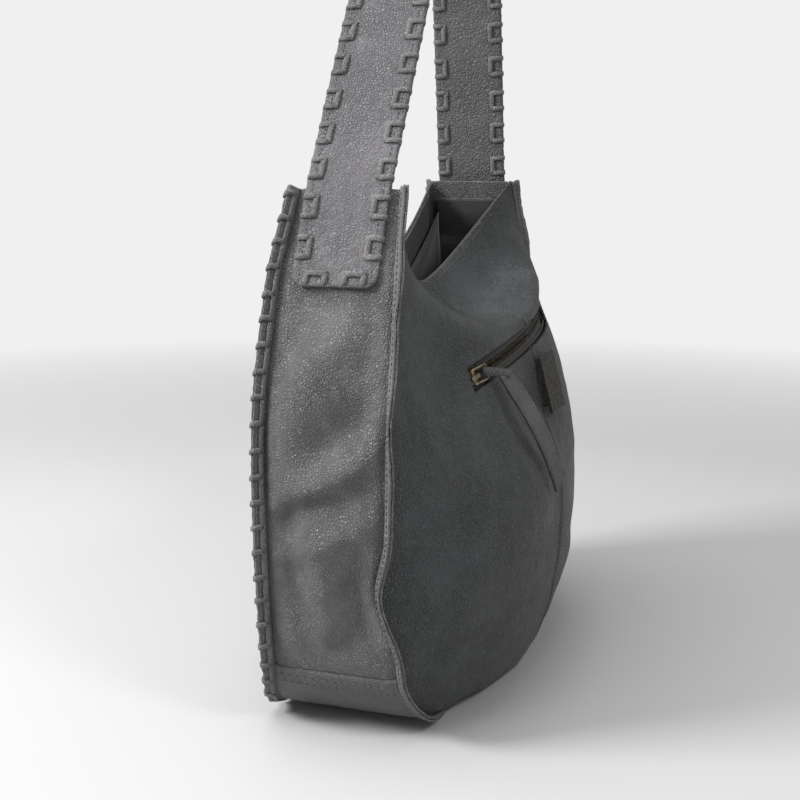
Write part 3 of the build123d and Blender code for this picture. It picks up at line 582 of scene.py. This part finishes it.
def basePlace(u, w):
    s, t = 2 * u - 1, 2 * w - 1
    x, y, z = baseStation(s)
    radius = ((baseShape["endX"] - baseShape["flat"]) ** 2 + baseShape["endZ"] ** 2) / (2 * baseShape["endZ"])
    past = max(0.0, min(abs(x) - baseShape["flat"], radius * 0.95))
    middleZ = radius - (radius ** 2 - past ** 2) ** 0.5
    edge = abs(t) ** 8
    lift = 0.6 * abs(noise.noise(Vector((x, y * t, 0)) * 0.03)) * (1 - edge)
    return Vector((x, t * (y - baseShape["edgeTuck"]), middleZ * (1 - edge) + z * edge + lift))


makePiece(
    "basePanel", sheetMesh(bodyShape["baseGrid"], basePlace, (0, 0, -1)),
    "base", bodyShape["leather"], "base_leather", "base_panel")


def seamStation(side, place):  # place runs from 0 at the near horn to 3 at the far one
    if place < 1 or place > 2:
        end = -1 if place < 1 else 1
        level = 1 - place if place < 1 else place - 2
        seamX, seamY, seamZ = rowAt(frontRows, level)[:3]
        out = rowAt(edgingOut, level)
        return Vector((end * seamX, side * seamY, seamZ)), Vector((end * out[0], side * out[1], out[2]))
    return panelPoint(frontRows, side, 2 * (place - 1) - 1, 0), Vector((0, side, edgingOut[0][2]))


def seamLine(side, pitch, first=0.0):  # evenly spaced point, direction along, direction out
    count = 1500
    stations = [seamStation(side, 3 * i / count) for i in range(count + 1)]
    line = []
    walked = pitch - first
    for i in range(1, count):
        walked += (stations[i][0] - stations[i - 1][0]).length
        if walked >= pitch:
            walked -= pitch
            along = (stations[i + 1][0] - stations[i - 1][0]).normalized()
            soft = stations[max(i - 25, 0)][1] + stations[i][1] + stations[min(i + 25, count)][1]
            out = (soft - along * soft.dot(along)).normalized()
            line.append((stations[i][0], along, out))
    return line


def lineFrame(line, share):
    place = share * (len(line) - 1)
    i = min(int(place), len(line) - 2)
    f = place - i
    point = line[i][0].lerp(line[i + 1][0], f)
    along = line[i][1].lerp(line[i + 1][1], f).normalized()
    out = line[i][2].lerp(line[i + 1][2], f).normalized()
    return point, along, out, along.cross(out).normalized()


edging = {
    "width": 6.6, "root": 1.6, "ply": 1.2, "wave": {-1: 2.6, 1: 0.8}, "ragged": 0.7, "lacePitch": 16.0,
    "grid": (360, 4),
}
print("seam edgings")
for side, name, node in (
    (-1, "frontSeamEdging", "front_seam_edging"), (1, "rearSeamEdging", "rear_seam_edging"),
):
    line = seamLine(side, 3.0)
    for ply in (-1, 1):
        def edgingPlace(u, w, line=line, side=side, ply=ply):
            point, along, out, across = lineFrame(line, u)
            reach = -edging["root"] + (edging["width"] + edging["root"]) * w
            wave = edging["wave"][side] * noise.noise(point * 0.026) * w
            ragged = edging["ragged"] * noise.noise(point * 0.35 + Vector((9 * ply, 0, 0))) * w
            if side < 0:
                reach *= 1 + 0.35 * noise.noise(point * 0.018 + Vector((4, 2, 7)))
            spread = 0.62 + 0.25 * w * (1 + noise.noise(point * 0.12 + Vector((0, 5 * ply, 0))))
            pulled = seamPull(point, 1) if side < 0 else Vector((0, 0, 0))
            return point + pulled + out * (reach + ragged) + across * (wave + ply * spread)

        middle = lineFrame(line, 0.2)[3] * ply
        bm = sheetMesh(edging["grid"], edgingPlace, middle)
        makePiece(
            name + ("Outer" if ply > 0 else "Inner"), bm,
            "edge", edging["ply"], "edge_leather", node, offset=0.0)


def laceStrip(bm, path, width, seed=0.0):  # a flat lace along points, each with the way out of it
    steps = len(path) - 1
    made = bmesh.ops.create_grid(bm, x_segments=steps, y_segments=2, size=0.5)["verts"]
    for v in made:
        i = round((v.co.x + 0.5) * steps)
        side = v.co.y * 2
        point, out = path[i]
        ahead = (path[min(i + 1, steps)][0] - path[max(i - 1, 0)][0]).normalized()
        across = ahead.cross(out).normalized()
        fray = 1 + 0.16 * noise.noise(point * 0.6 + Vector((seed, side, 0)))
        crown = 0.30 * (1 - side * side)
        v.co = (point + across * (side * width / 2 * fray) + out * crown) * mm
    faces = list({f for v in made for f in v.link_faces})
    first = min(faces, key=lambda f: (f.calc_center_median() - path[0][0] * mm).length)
    first.normal_update()
    if first.normal.dot(path[0][1]) < 0:
        bmesh.ops.reverse_faces(bm, faces=faces)


lace = {"width": 3.4, "under": 2.8, "thick": 0.9}
print("seam lacing")
bm = bmesh.new()
turns = [f for f in seamLine(1, edging["lacePitch"], 6.0) if f[0].z > 6]
for i, (point, along, out) in enumerate(turns):
    across = along.cross(out).normalized()
    wobble = 1.2 * noise.noise(point * 0.4)
    over = []
    for t in range(9):
        turn = pi * (t / 8 - 0.5)
        sideways, height = sin(turn), cos(turn)
        drop = 0.0 if 1 < t < 7 else 3.4
        place = point + across * (2.35 * max(-1, min(1, sideways * 1.25))) + out * (5.6 + 1.7 * height - drop)
        place += along * (wobble + 1.1 * sideways)
        over.append((place, (across * sideways + out * max(height, 0.12)).normalized()))
    laceStrip(bm, over, lace["width"], i)
    if i + 1 < len(turns) and (turns[i + 1][0] - point).length < 20:
        after = turns[i + 1]
        for face in (-1, 1):
            run = []
            for t in range(5):
                f = 0.04 + 0.92 * t / 4
                spot = point.lerp(after[0], f)
                way = out.lerp(after[2], f).normalized()
                beside = along.lerp(after[1], f).cross(way).normalized() * face
                lift = 0.35 * sin(pi * t / 4)
                run.append((spot + way * 1.9 + beside * (2.2 + lift), beside))
            laceStrip(bm, run, lace["under"], i + 50 * face)
makePiece("rearSeamLacing", bm, "lacing", lace["thick"], "lacing", "rear_seam_lacing", offset=0.0)

strapShape = {
    "width": 55.0, "thick": 3.2, "footX": 144.0, "hornTop": 350.0, "nearLean": 33.0, "farLean": 8.0,
    "archRadius": 60.0, "archCentre": (55.6796, 547.3148), "tailFoot": (169.9, 291.9),
    "inside": (55.0, 0, 480.0),
    "lacePitch": 26.0, "laceLength": 15.5, "laceInset": 8.5, "footInset": 7.4, "threadInset": 4.2, "sewn": 66,
    "grid": (420, 26),
}


def strapLine():  # points of the strap's middle line, in X and Z, about 2 mm apart
    cx, cz = strapShape["archCentre"]
    radius = strapShape["archRadius"]
    nearOut, farOut = radians(180 - strapShape["nearLean"]), radians(strapShape["farLean"])
    nearTop = (cx + radius * cos(nearOut), cz + radius * sin(nearOut))
    farTop = (cx + radius * cos(farOut), cz + radius * sin(farOut))
    footX, footZ = strapShape["tailFoot"]
    corners = [(-footX, footZ), (-strapShape["footX"], strapShape["hornTop"]), nearTop]
    arcSteps = 60
    for i in range(1, arcSteps):
        turn = nearOut + (farOut - nearOut) * i / arcSteps
        corners.append((cx + radius * cos(turn), cz + radius * sin(turn)))
    corners += [farTop, (strapShape["footX"], strapShape["hornTop"]), (footX, footZ)]
    dense = []
    for a, b in zip(corners, corners[1:]):
        length = hypot(b[0] - a[0], b[1] - a[1])
        steps = max(1, round(length / 2))
        dense += [(a[0] + (b[0] - a[0]) * i / steps, a[1] + (b[1] - a[1]) * i / steps) for i in range(steps)]
    dense.append(corners[-1])
    smooth = []
    for i in range(len(dense)):
        reach = min(9, i, len(dense) - 1 - i)
        part = dense[i - reach:i + reach + 1]
        smooth.append((sum(p[0] for p in part) / len(part), sum(p[1] for p in part) / len(part)))
    return smooth


strapPoints = strapLine()
strapWalk = [0.0]
for a, b in zip(strapPoints, strapPoints[1:]):
    strapWalk.append(strapWalk[-1] + hypot(b[0] - a[0], b[1] - a[1]))
strapLength = strapWalk[-1]


def strapStation(walked):  # middle point, along, outwards
    walked = max(0.0, min(strapLength, walked))
    low, high = 0, len(strapWalk) - 1
    while high - low > 1:
        half = (low + high) // 2
        if strapWalk[half] > walked:
            high = half
        else:
            low = half
    f = (walked - strapWalk[low]) / (strapWalk[high] - strapWalk[low])
    a, b = strapPoints[low], strapPoints[high]
    before, after = strapPoints[max(low - 2, 0)], strapPoints[min(high + 2, len(strapPoints) - 1)]
    along = Vector((after[0] - before[0], 0, after[1] - before[1])).normalized()
    point = Vector((a[0] + (b[0] - a[0]) * f, 0, a[1] + (b[1] - a[1]) * f))
    return point, along, along.cross(Vector((0, 1, 0)))


def strapSurface(walked, y, lift=0.0):  # a place on the strap: y across it, lift out of its middle
    point, along, out = strapStation(walked)
    curl = 0.9 * (abs(y) / 27.5) ** 3 * noise.noise(Vector((walked * 0.011, y * 0.02, 3)))
    wave = 0.7 * noise.noise(Vector((walked * 0.02, y * 0.03, 8)))
    free = min(1.0, max(0.0, min(walked, strapLength - walked) - 55) / 40)
    return point + Vector((0, y, 0)) + out * (lift + free * (1.6 * curl + wave)), along, out


def strapPlace(u, w):
    walked = strapLength * u
    y = (2 * w - 1) * strapShape["width"] / 2
    fromEnd = min(walked, strapLength - walked)
    if fromEnd < 7:
        y *= 1 - 0.2 * (1 - fromEnd / 7) ** 2
    y += 0.35 * noise.noise(Vector((walked * 0.3, w * 4, 1))) * (abs(2 * w - 1) > 0.98)
    return strapSurface(walked, y)[0]


def settleStrap(obj, slotName, *replaced):  # the strap's feet are sewn to the bag and it folds just above the horns, both drawn in its shape; this only bakes its placement into the mesh and hides the parts it replaces
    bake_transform(obj)
    if replaced:
        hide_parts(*replaced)


print("strap")
strapBm = sheetMesh(strapShape["grid"], strapPlace, (0, 0, 1))
centre = Vector(strapShape["inside"]) * mm
strapBm.normal_update()
if sum(f.normal.dot(f.calc_center_median() - centre) for f in strapBm.faces) < 0:
    bmesh.ops.reverse_faces(strapBm, faces=strapBm.faces[:])
strap = newObject("shoulderStrap", strapBm, finishes["strap"])
strap.data.materials.append(finishes["backing"])
thicken(strap, strapShape["thick"], 0.0, 1)
settleStrap(strap, "strap_leather", "strap_leather", "strap_backing", "strap_tail_left", "strap_tail_right")

print("strap lacing")
loopCount = int((strapLength - 2 * 9 - strapShape["laceLength"]) / strapShape["lacePitch"])
loopStart = (strapLength - loopCount * strapShape["lacePitch"]) / 2
loopBm = bmesh.new()
for edge in (-1, 1):
    for i in range(loopCount + 1):
        middle = loopStart + i * strapShape["lacePitch"] + 1.2 * noise.noise(Vector((i, edge * 3, 0.5)))
        half = strapShape["laceLength"] / 2 - lace["width"] / 2 + 0.5 * noise.noise(Vector((i * 2.3, edge, 0)))
        sewn = min(middle, strapLength - middle) < strapShape["sewn"]  # this stretch lies on a gusset
        lift = strapShape["thick"] / 2 + 0.3
        drift = 0.6 * noise.noise(Vector((i * 1.7, 2, edge)))
        inner = edge * (strapShape["width"] / 2 - strapShape["laceInset"] + drift)
        for face in ((1,) if sewn else (-1, 1)):
            run = []
            for t in range(7):
                walked = middle + (half + 1.3) * (t / 3 - 1)
                place, along, out = strapSurface(walked, inner, face * (lift + 0.5 * sin(pi * t / 6)))
                run.append((place, out * face))
            laceStrip(loopBm, run, lace["width"], i)
        for end in (-1, 1):
            walked = middle + end * half
            cross = []
            rim = edge * (strapShape["width"] / 2 + 0.2)
            stops = [
                (inner, lift + 0.25), ((inner + rim) / 2, lift + 0.55), (rim - edge * 1.6, lift + 0.3),
                (rim - edge * 0.2, lift * 0.7), (rim + edge * 0.3, 0.0),
            ]
            if not sewn:
                stops += [(y, -z) for y, z in reversed(stops[:-1])]
            for y, z in stops:
                slip = 0.7 * end * noise.noise(Vector((y, i, edge)))
                place, along, out = strapSurface(walked + slip, y, z)
                way = (Vector((0, edge * max(0.0, 1 - abs(z) / lift), 0)) + out * (z / lift)).normalized()
                cross.append((place, way))
            laceStrip(loopBm, cross, lace["width"], i + 7 * end)
for end in (-1, 1):  # loops along the feet of the tails
    for y in (-13.0, 12.0):
        foot = 0.6 if end < 0 else strapLength - 0.6
        inward = 1 if end < 0 else -1
        lift = strapShape["thick"] / 2 + 0.3
        half = strapShape["laceLength"] / 2 - lace["width"] / 2
        run = []
        for t in range(5):
            beside = y + (half + 1.3) * (t / 2 - 1)
            high = lift + 0.4 * sin(pi * t / 4)
            place, along, out = strapSurface(foot + inward * strapShape["footInset"], beside, high)
            run.append((place, out))
        laceStrip(loopBm, run, lace["width"], y)
        for bar in (-1, 1):
            cross = []
            for t in range(5):
                walked = foot + inward * (strapShape["footInset"] - 1.8 * t)
                high = lift + 0.3 * sin(pi * t / 4) - (0.8 if t == 4 else 0)
                place, along, out = strapSurface(walked, y + bar * half, high)
                cross.append((place, out))
            laceStrip(loopBm, cross, lace["width"], y + bar)
strapLacing = newObject("strapLacing", loopBm, finishes["lacing"])
thicken(strapLacing, lace["thick"], 0.0)
settleStrap(
    strapLacing, "lacing", "strap_lacing_front", "strap_lacing_rear", "tail_lacing_left", "tail_lacing_right")


def stitches(bm, path, length=2.4, gap=1.1, thick=0.42):  # path: points with the way out of the leather
    walked = 0.0
    due = 0.0
    for (a, outA), (b, outB) in zip(path, path[1:]):
        step = (b - a).length
        if step < 1e-6:
            continue
        while due <= walked + step:
            f = (due - walked) / step
            place = a.lerp(b, f)
            ahead = (b - a).normalized()
            out = outA.lerp(outB, f).normalized()
            across = ahead.cross(out).normalized()
            turn = Matrix((ahead, across, out)).transposed().to_4x4()
            size = Matrix.Diagonal((length / 2, thick, thick * 0.8, 1))
            spot = Matrix.Translation((place + out * 0.12) * mm) @ Matrix.Scale(mm, 4) @ turn @ size
            bmesh.ops.create_uvsphere(bm, u_segments=6, v_segments=4, radius=1, matrix=spot)
            due += length + gap
        walked += step


def surfacePath(place, spots, away):
    path = []
    for u, w in spots:
        path.append((place(u, w), normalAt(place, u, w, away)))
    return path


print("thread")
threadBm = bmesh.new()
for offset in (-3.4, 3.4):
    spots = []
    for i in range(81):
        w = 0.005 + 0.985 * i / 80
        seamX = rowAt(frontRows, w)[0]
        spots.append((0.5 + offset / (2 * seamX), w))
    stitches(threadBm, surfacePath(frontPlace, spots, (0, -1, 0.3)))
hemRow = [(0.02 + 0.96 * i / 120, 0.978) for i in range(121)]
stitches(threadBm, surfacePath(frontPlace, hemRow, (0, -1, 0.3)))
stitches(threadBm, surfacePath(rearPlace, [(u, 0.974) for u, w in hemRow], (0, 1, 0.3)))
line = seamLine(-1, 4.0)
for ply in (-1, 1):  # topstitch through the front seam's raw edges
    path = []
    for i in range(len(line) * 2):
        point, along, out, across = lineFrame(line, i / (len(line) * 2 - 1))
        wave = edging["wave"][-1] * noise.noise(point * 0.026) * 0.45
        path.append((point + seamPull(point, 1) + out * 2.6 + across * (wave + ply * 1.55), across * ply))
    stitches(threadBm, path, 2.6, 1.3)
for end in (-1, 1):  # dashes along the base, just below the gusset seam
    for thick, w in ((0.5, 0.97), (0.6, 0.985)):
        u = w if end > 0 else 1 - w
        path = []
        for i in range(41):
            v = 0.06 + 0.88 * i / 40
            path.append((basePlace(u, v), normalAt(basePlace, u, v, (end, 0, -0.5))))
        stitches(threadBm, path, 3.4, 1.6, thick)
bodyThread = newObject("bodyThread", threadBm, finishes["thread"])
settle(bodyThread, "bag_body", "lacing")

strapThreadBm = bmesh.new()
for edge in (-1, 1):
    path = []
    row = edge * (strapShape["width"] / 2 - strapShape["threadInset"])
    for i in range(240):
        walked = 3 + (strapLength - 6) * i / 239
        place, along, out = strapSurface(walked, row, strapShape["thick"] / 2)
        path.append((place, out))
    stitches(strapThreadBm, path, 2.5, 1.2)
strapThread = newObject("strapThread", strapThreadBm, finishes["thread"])
settleStrap(strapThread, "lacing")

print("zip")
welt = {"reach": 12.0, "opening": 5.6, "roll": 1.3, "thick": 1.0, "overlap": 0.010, "grid": (160, 40)}


def weltPlace(u, w):
    angle = windowStart - welt["overlap"] + (windowEnd - windowStart + 2 * welt["overlap"]) * u
    height = (2 * w - 1) * welt["reach"]
    lip = exp(-((abs(height) - 6.6) / 1.3) ** 2)
    uneven = 0.15 * noise.noise(Vector((angle * 60, w * 3, 0)))
    return zipPoint(angle, height, 2.5 - welt["roll"] * lip + uneven)


bm = sheetMesh(welt["grid"], weltPlace, (0, -1, 0.3))
cutWindow(bm, windowStart + 0.004, windowEnd - 0.004, -welt["opening"], welt["opening"])
makePiece("pocketWelt", bm, "welt", welt["thick"], "welt_leather", "pocket_welt")


for node, finish in (
    ("zip_tape_upper", "tape"), ("zip_tape_lower", "tape"),
    ("zip_teeth_upper", "teeth"), ("zip_teeth_lower", "teeth"), ("zip_slider", "brass"),
    ("pull_bail", "brass"), ("plate", "plate"), ("snap_stud", "snap"), ("snap_socket", "snap"),
):
    mesh = nodes[node].data
    mesh.materials.clear()
    mesh.materials.append(finishes[finish])

tab = {
    "path": [
        (-77.4, -81.6, 229.4), (-71.1, -91.8, 213.5), (-61.6, -100.8, 193.9),
        (-51.5, -107.6, 174.3), (-42.8, -112.4, 156.1), (-38.7, -114.2, 147.1),
    ],
    "pin": (-83.8318, -73.6017, 230.817), "out": (-0.42, -0.90, 0.10), "width": 13.0, "thick": 2.5, "neck": 5.2,
    "grid": (10, 48),
}


def tabStation(t):
    point = Vector(rowAt(tab["path"], t))
    ahead = Vector(rowAt(tab["path"], min(1, t + 0.01))) - Vector(rowAt(tab["path"], max(0, t - 0.01)))
    ahead.normalize()
    side = ahead.cross(Vector(tab["out"])).normalized()
    return point, ahead, side, side.cross(ahead).normalized()


def tabPlace(u, w):
    point, ahead, side, out = tabStation(w)
    t = 2 * u - 1
    half = tab["width"] / 2 * (0.66 + 0.34 * min(1.0, 6 * w))
    slant = 3.2 * t * max(0.0, (w - 0.9) / 0.1)  # the tip is cut at an angle
    crown = 0.35 * (1 - t * t) + 0.2 * noise.noise(point * 0.15)
    return point + side * (half * t) + ahead * slant + Vector(tab["out"]).normalized() * (tab["thick"] + crown)


bm = sheetMesh(tab["grid"], tabPlace, tab["out"])
pull = newObject("leatherPull", bm, finishes["pull"])
thicken(pull, tab["thick"])
bevel = pull.modifiers.new("softEdge", "BEVEL")
bevel.width = 0.0004
bevel.segments = 2
settle(pull, "tab", "pull_leather", "pull_tab")

pin = Vector(tab["pin"])
start = tabStation(0.0)[0]
first = (start - pin).normalized()
barAxis = first.cross(Vector(tab["out"])).normalized()
neckOut = barAxis.cross(first).normalized()
loopBm = bmesh.new()
neckPath = []
for t in range(5):
    f = 1 - t / 4
    reach = 3.0 + ((start - pin).length + 3.0) * f
    neckPath.append((pin + first * reach + neckOut * (2.6 if t else 3.0), neckOut))
for t in range(9):
    turn = pi * (0.5 + t / 8)
    way = first * cos(turn) + neckOut * sin(turn)
    neckPath.append((pin + way * 2.75, way))
for t in range(4):
    f = t / 3
    reach = 2.0 + (start - pin).length * f * 0.9
    neckPath.append((pin + first * reach + neckOut * (-2.6 + 2.2 * f), -neckOut))
laceStrip(loopBm, neckPath, tab["neck"])
makePiece("pullNeck", loopBm, "pull", 0.9, "pull_leather", body="tab", offset=0.0)

tabThreadBm = bmesh.new()
for t in (-0.74, 0.74):
    path = [(tabPlace((1 + t) / 2, 0.06 + 0.88 * i / 30), Vector(tab["out"]).normalized()) for i in range(31)]
    stitches(tabThreadBm, path, 2.0, 1.0, 0.34)
for w in (0.06, 0.19, 0.95):
    path = [(tabPlace(0.5 + 0.37 * (2 * i / 8 - 1), w), Vector(tab["out"]).normalized()) for i in range(9)]
    stitches(tabThreadBm, path, 1.8, 0.8, 0.34)
tabThread = newObject("pullThread", tabThreadBm, finishes["thread"])
settle(tabThread, "tab", "lacing")


print("lining")


lining = {
    "cloth": 0.6, "slack": 1.2, "rearSlack": 4.0,
    "grid": (90, 80), "gussetGrid": (24, 80), "baseGrid": (90, 30),
}
facing = {"depth": 2.8, "fall": 28, "thick": 1.2, "grid": (90, 10)}
pocket = {"cloth": 0.5, "grid": (50, 30)}


def liningPlace(rows, side):
    loose = lining["slack"] + (lining["rearSlack"] if side > 0 else 0.0)

    def place(u, w):
        point = panelPoint(rows, side, 2 * u - 1, w)
        calm = min(1.0, 8 * u, 8 * (1 - u), 8 * w, 6 * (1 - w))
        slack = loose + 1.6 * noise.noise(point * 0.035) + 0.6 * noise.noise(point * 0.09)
        return point + Vector((0, -side, 0)) * (calm * slack)
    return place


def meshArea(obj):
    return sum(p.area for p in obj.data.polygons)


sheets = {
    "frontLining": (liningPlace(liningFrontRows, -1), (0, 1, 0), "front_lining", (0.3662, 0.3170)),
    "rearLining": (liningPlace(liningRearRows, 1), (0, -1, 0), "rear_lining", (0.3662, 0.3170)),
}
for name, (place, away, node, flat) in sheets.items():
    obj = makePiece(
        name, sheetMesh(lining["grid"], place, away), "lining", lining["cloth"], "lining_cloth", node)
    area = meshArea(obj)
    print(name, "area", round(area, 4))

for end, name, node in (
    (-1, "gussetLiningNear", "gusset_lining_left"), (1, "gussetLiningFar", "gusset_lining_right"),
):
    def gussetLiningPlace(u, w, end=end):
        level = bodyShape["baseLevel"] + 0.004 + (0.926 - bodyShape["baseLevel"]) * w
        point = gussetPoint(end, 2 * u - 1, level)
        inset = 5.4 + 8.0 * sin(pi * min(1.0, 1.25 * w)) ** 0.7 + 0.8 * noise.noise(point * 0.05)
        return Vector((point.x - end * inset, point.y * 0.87, point.z))

    obj = makePiece(
        name, sheetMesh(lining["gussetGrid"], gussetLiningPlace, (-end, 0, 0)),
        "lining", lining["cloth"], "lining_cloth", node)
    print(name, "area", round(meshArea(obj), 4))


def baseLiningPlace(u, w):
    point = basePlace(0.03 + 0.94 * u, w)
    return Vector((point.x * 0.985, point.y * 0.9, point.z + 5.6))


obj = makePiece(
    "baseLining", sheetMesh(lining["baseGrid"], baseLiningPlace, (0, 0, 1)),
    "lining", lining["cloth"], "lining_cloth", "base_lining")

for name, side, rows, node in (
    ("frontFacing", -1, frontRows, "front_facing"), ("rearFacing", 1, rearRows, "rear_facing"),
):
    def facingPlace(u, w, side=side, rows=rows):
        point = panelPoint(rows, side, -0.93 + 1.86 * u, 1)
        wave = 0.5 * noise.noise(point * 0.05) * w
        return point + Vector((0, -side * (facing["depth"] + wave), -1.2 - facing["fall"] * w))

    makePiece(
        name, sheetMesh(facing["grid"], facingPlace, (0, -side, 0)),
        "facing", facing["thick"], "facing_leather", node)

for name, depth, low, high, node in (
    ("pocketFront", 10.5, 130.0, 229.0, "pocket_lining_front"),
    ("pocketRear", 13.0, 130.0, 249.0, "pocket_lining_rear"),
):
    def pocketPlace(u, w, depth=depth, low=low, high=high):
        radius = zipShape["radius"] - depth - 0.3
        angle = windowStart - 0.015 + (windowEnd - windowStart + 0.035) * u
        x = zipShape["middle"][0] + radius * sin(angle)
        y = zipShape["middle"][1] + zipShape["radius"] - radius * cos(angle)
        return Vector((x, y + 0.3 * noise.noise(Vector((u * 5, w * 4, depth))), low + (high - low) * w))

    obj = makePiece(
        name, sheetMesh(pocket["grid"], pocketPlace, (0, -1, 0)),
        "pocket", pocket["cloth"], "pocket_cloth", node, offset=0.0)

print("studio")
studio = {
    "pale": (0.53, 0.53, 0.53), "backdrop": 0.87, "roomLight": 0.36,
    "floorReach": 2.4, "floorFade": (0.75, 1.7),
    "keyPlace": (-0.95, 1.35, 1.25), "keyPower": 42.0, "keySize": 0.6,
    "topPlace": (-0.3, 0.35, 1.9), "topPower": 24.0, "topSize": 1.5,
    "sidePlace": (-0.75, -1.25, 1.35), "sidePower": 9.0, "sideSize": 0.4,
}
bm = bmesh.new()
bmesh.ops.create_circle(bm, cap_ends=True, segments=96, radius=studio["floorReach"])
paleFloor = bpy.data.materials.new("paleFloor")
paleFloor.use_nodes = True
tree = paleFloor.node_tree
shader = tree.nodes["Principled BSDF"]
shader.inputs["Base Color"].default_value = (*studio["pale"], 1)
shader.inputs["Roughness"].default_value = 0.9
shader.inputs["Specular IOR Level"].default_value = 0.1
where = tree.nodes.new("ShaderNodeTexCoord")
span = tree.nodes.new("ShaderNodeVectorMath")
span.operation = "LENGTH"
tree.links.new(where.outputs["Object"], span.inputs[0])
tree.links.new(remap(tree, span.outputs["Value"], *studio["floorFade"], 1.0, 0.0), shader.inputs["Alpha"])
floor = newObject("floor", bm, paleFloor)

world = bpy.data.worlds.new("softRoom")
bpy.context.scene.world = world
world.use_nodes = True
room = world.node_tree
seen, strength = room.nodes.new("ShaderNodeLightPath"), room.nodes.new("ShaderNodeMapRange")
strength.inputs["To Min"].default_value = studio["roomLight"]
strength.inputs["To Max"].default_value = studio["backdrop"]
room.links.new(seen.outputs["Is Camera Ray"], strength.inputs["Value"])
room.links.new(strength.outputs["Result"], room.nodes["Background"].inputs["Strength"])
room.nodes["Background"].inputs["Color"].default_value = (1, 1, 1, 1)
bpy.context.scene.view_settings.view_transform = "Standard"
for name, place, power, size in (
    ("key", studio["keyPlace"], studio["keyPower"], studio["keySize"]),
    ("top", studio["topPlace"], studio["topPower"], studio["topSize"]),
    ("side", studio["sidePlace"], studio["sidePower"], studio["sideSize"]),
):
    lamp = bpy.data.lights.new(name, "AREA")
    lamp.energy = power
    lamp.size = size
    holder = bpy.data.objects.new(name, lamp)
    bpy.context.collection.objects.link(holder)
    holder.location = place
    holder.rotation_euler = (Vector((0, 0, 0.2)) - Vector(place)).to_track_quat("-Z", "Y").to_euler()

camera = {"place": (-0.8704, -0.2756, 0.3682), "turn": (79.05, 0.0, -71.57), "lens": 56.19}
eye = bpy.data.cameras.new("camera")
eye.lens = camera["lens"]
eye.sensor_width = 36.0
eyeHolder = bpy.data.objects.new("camera", eye)
bpy.context.collection.objects.link(eyeHolder)
eyeHolder.location = camera["place"]
eyeHolder.rotation_euler = Euler([radians(a) for a in camera["turn"]])
bpy.context.scene.camera = eyeHolder
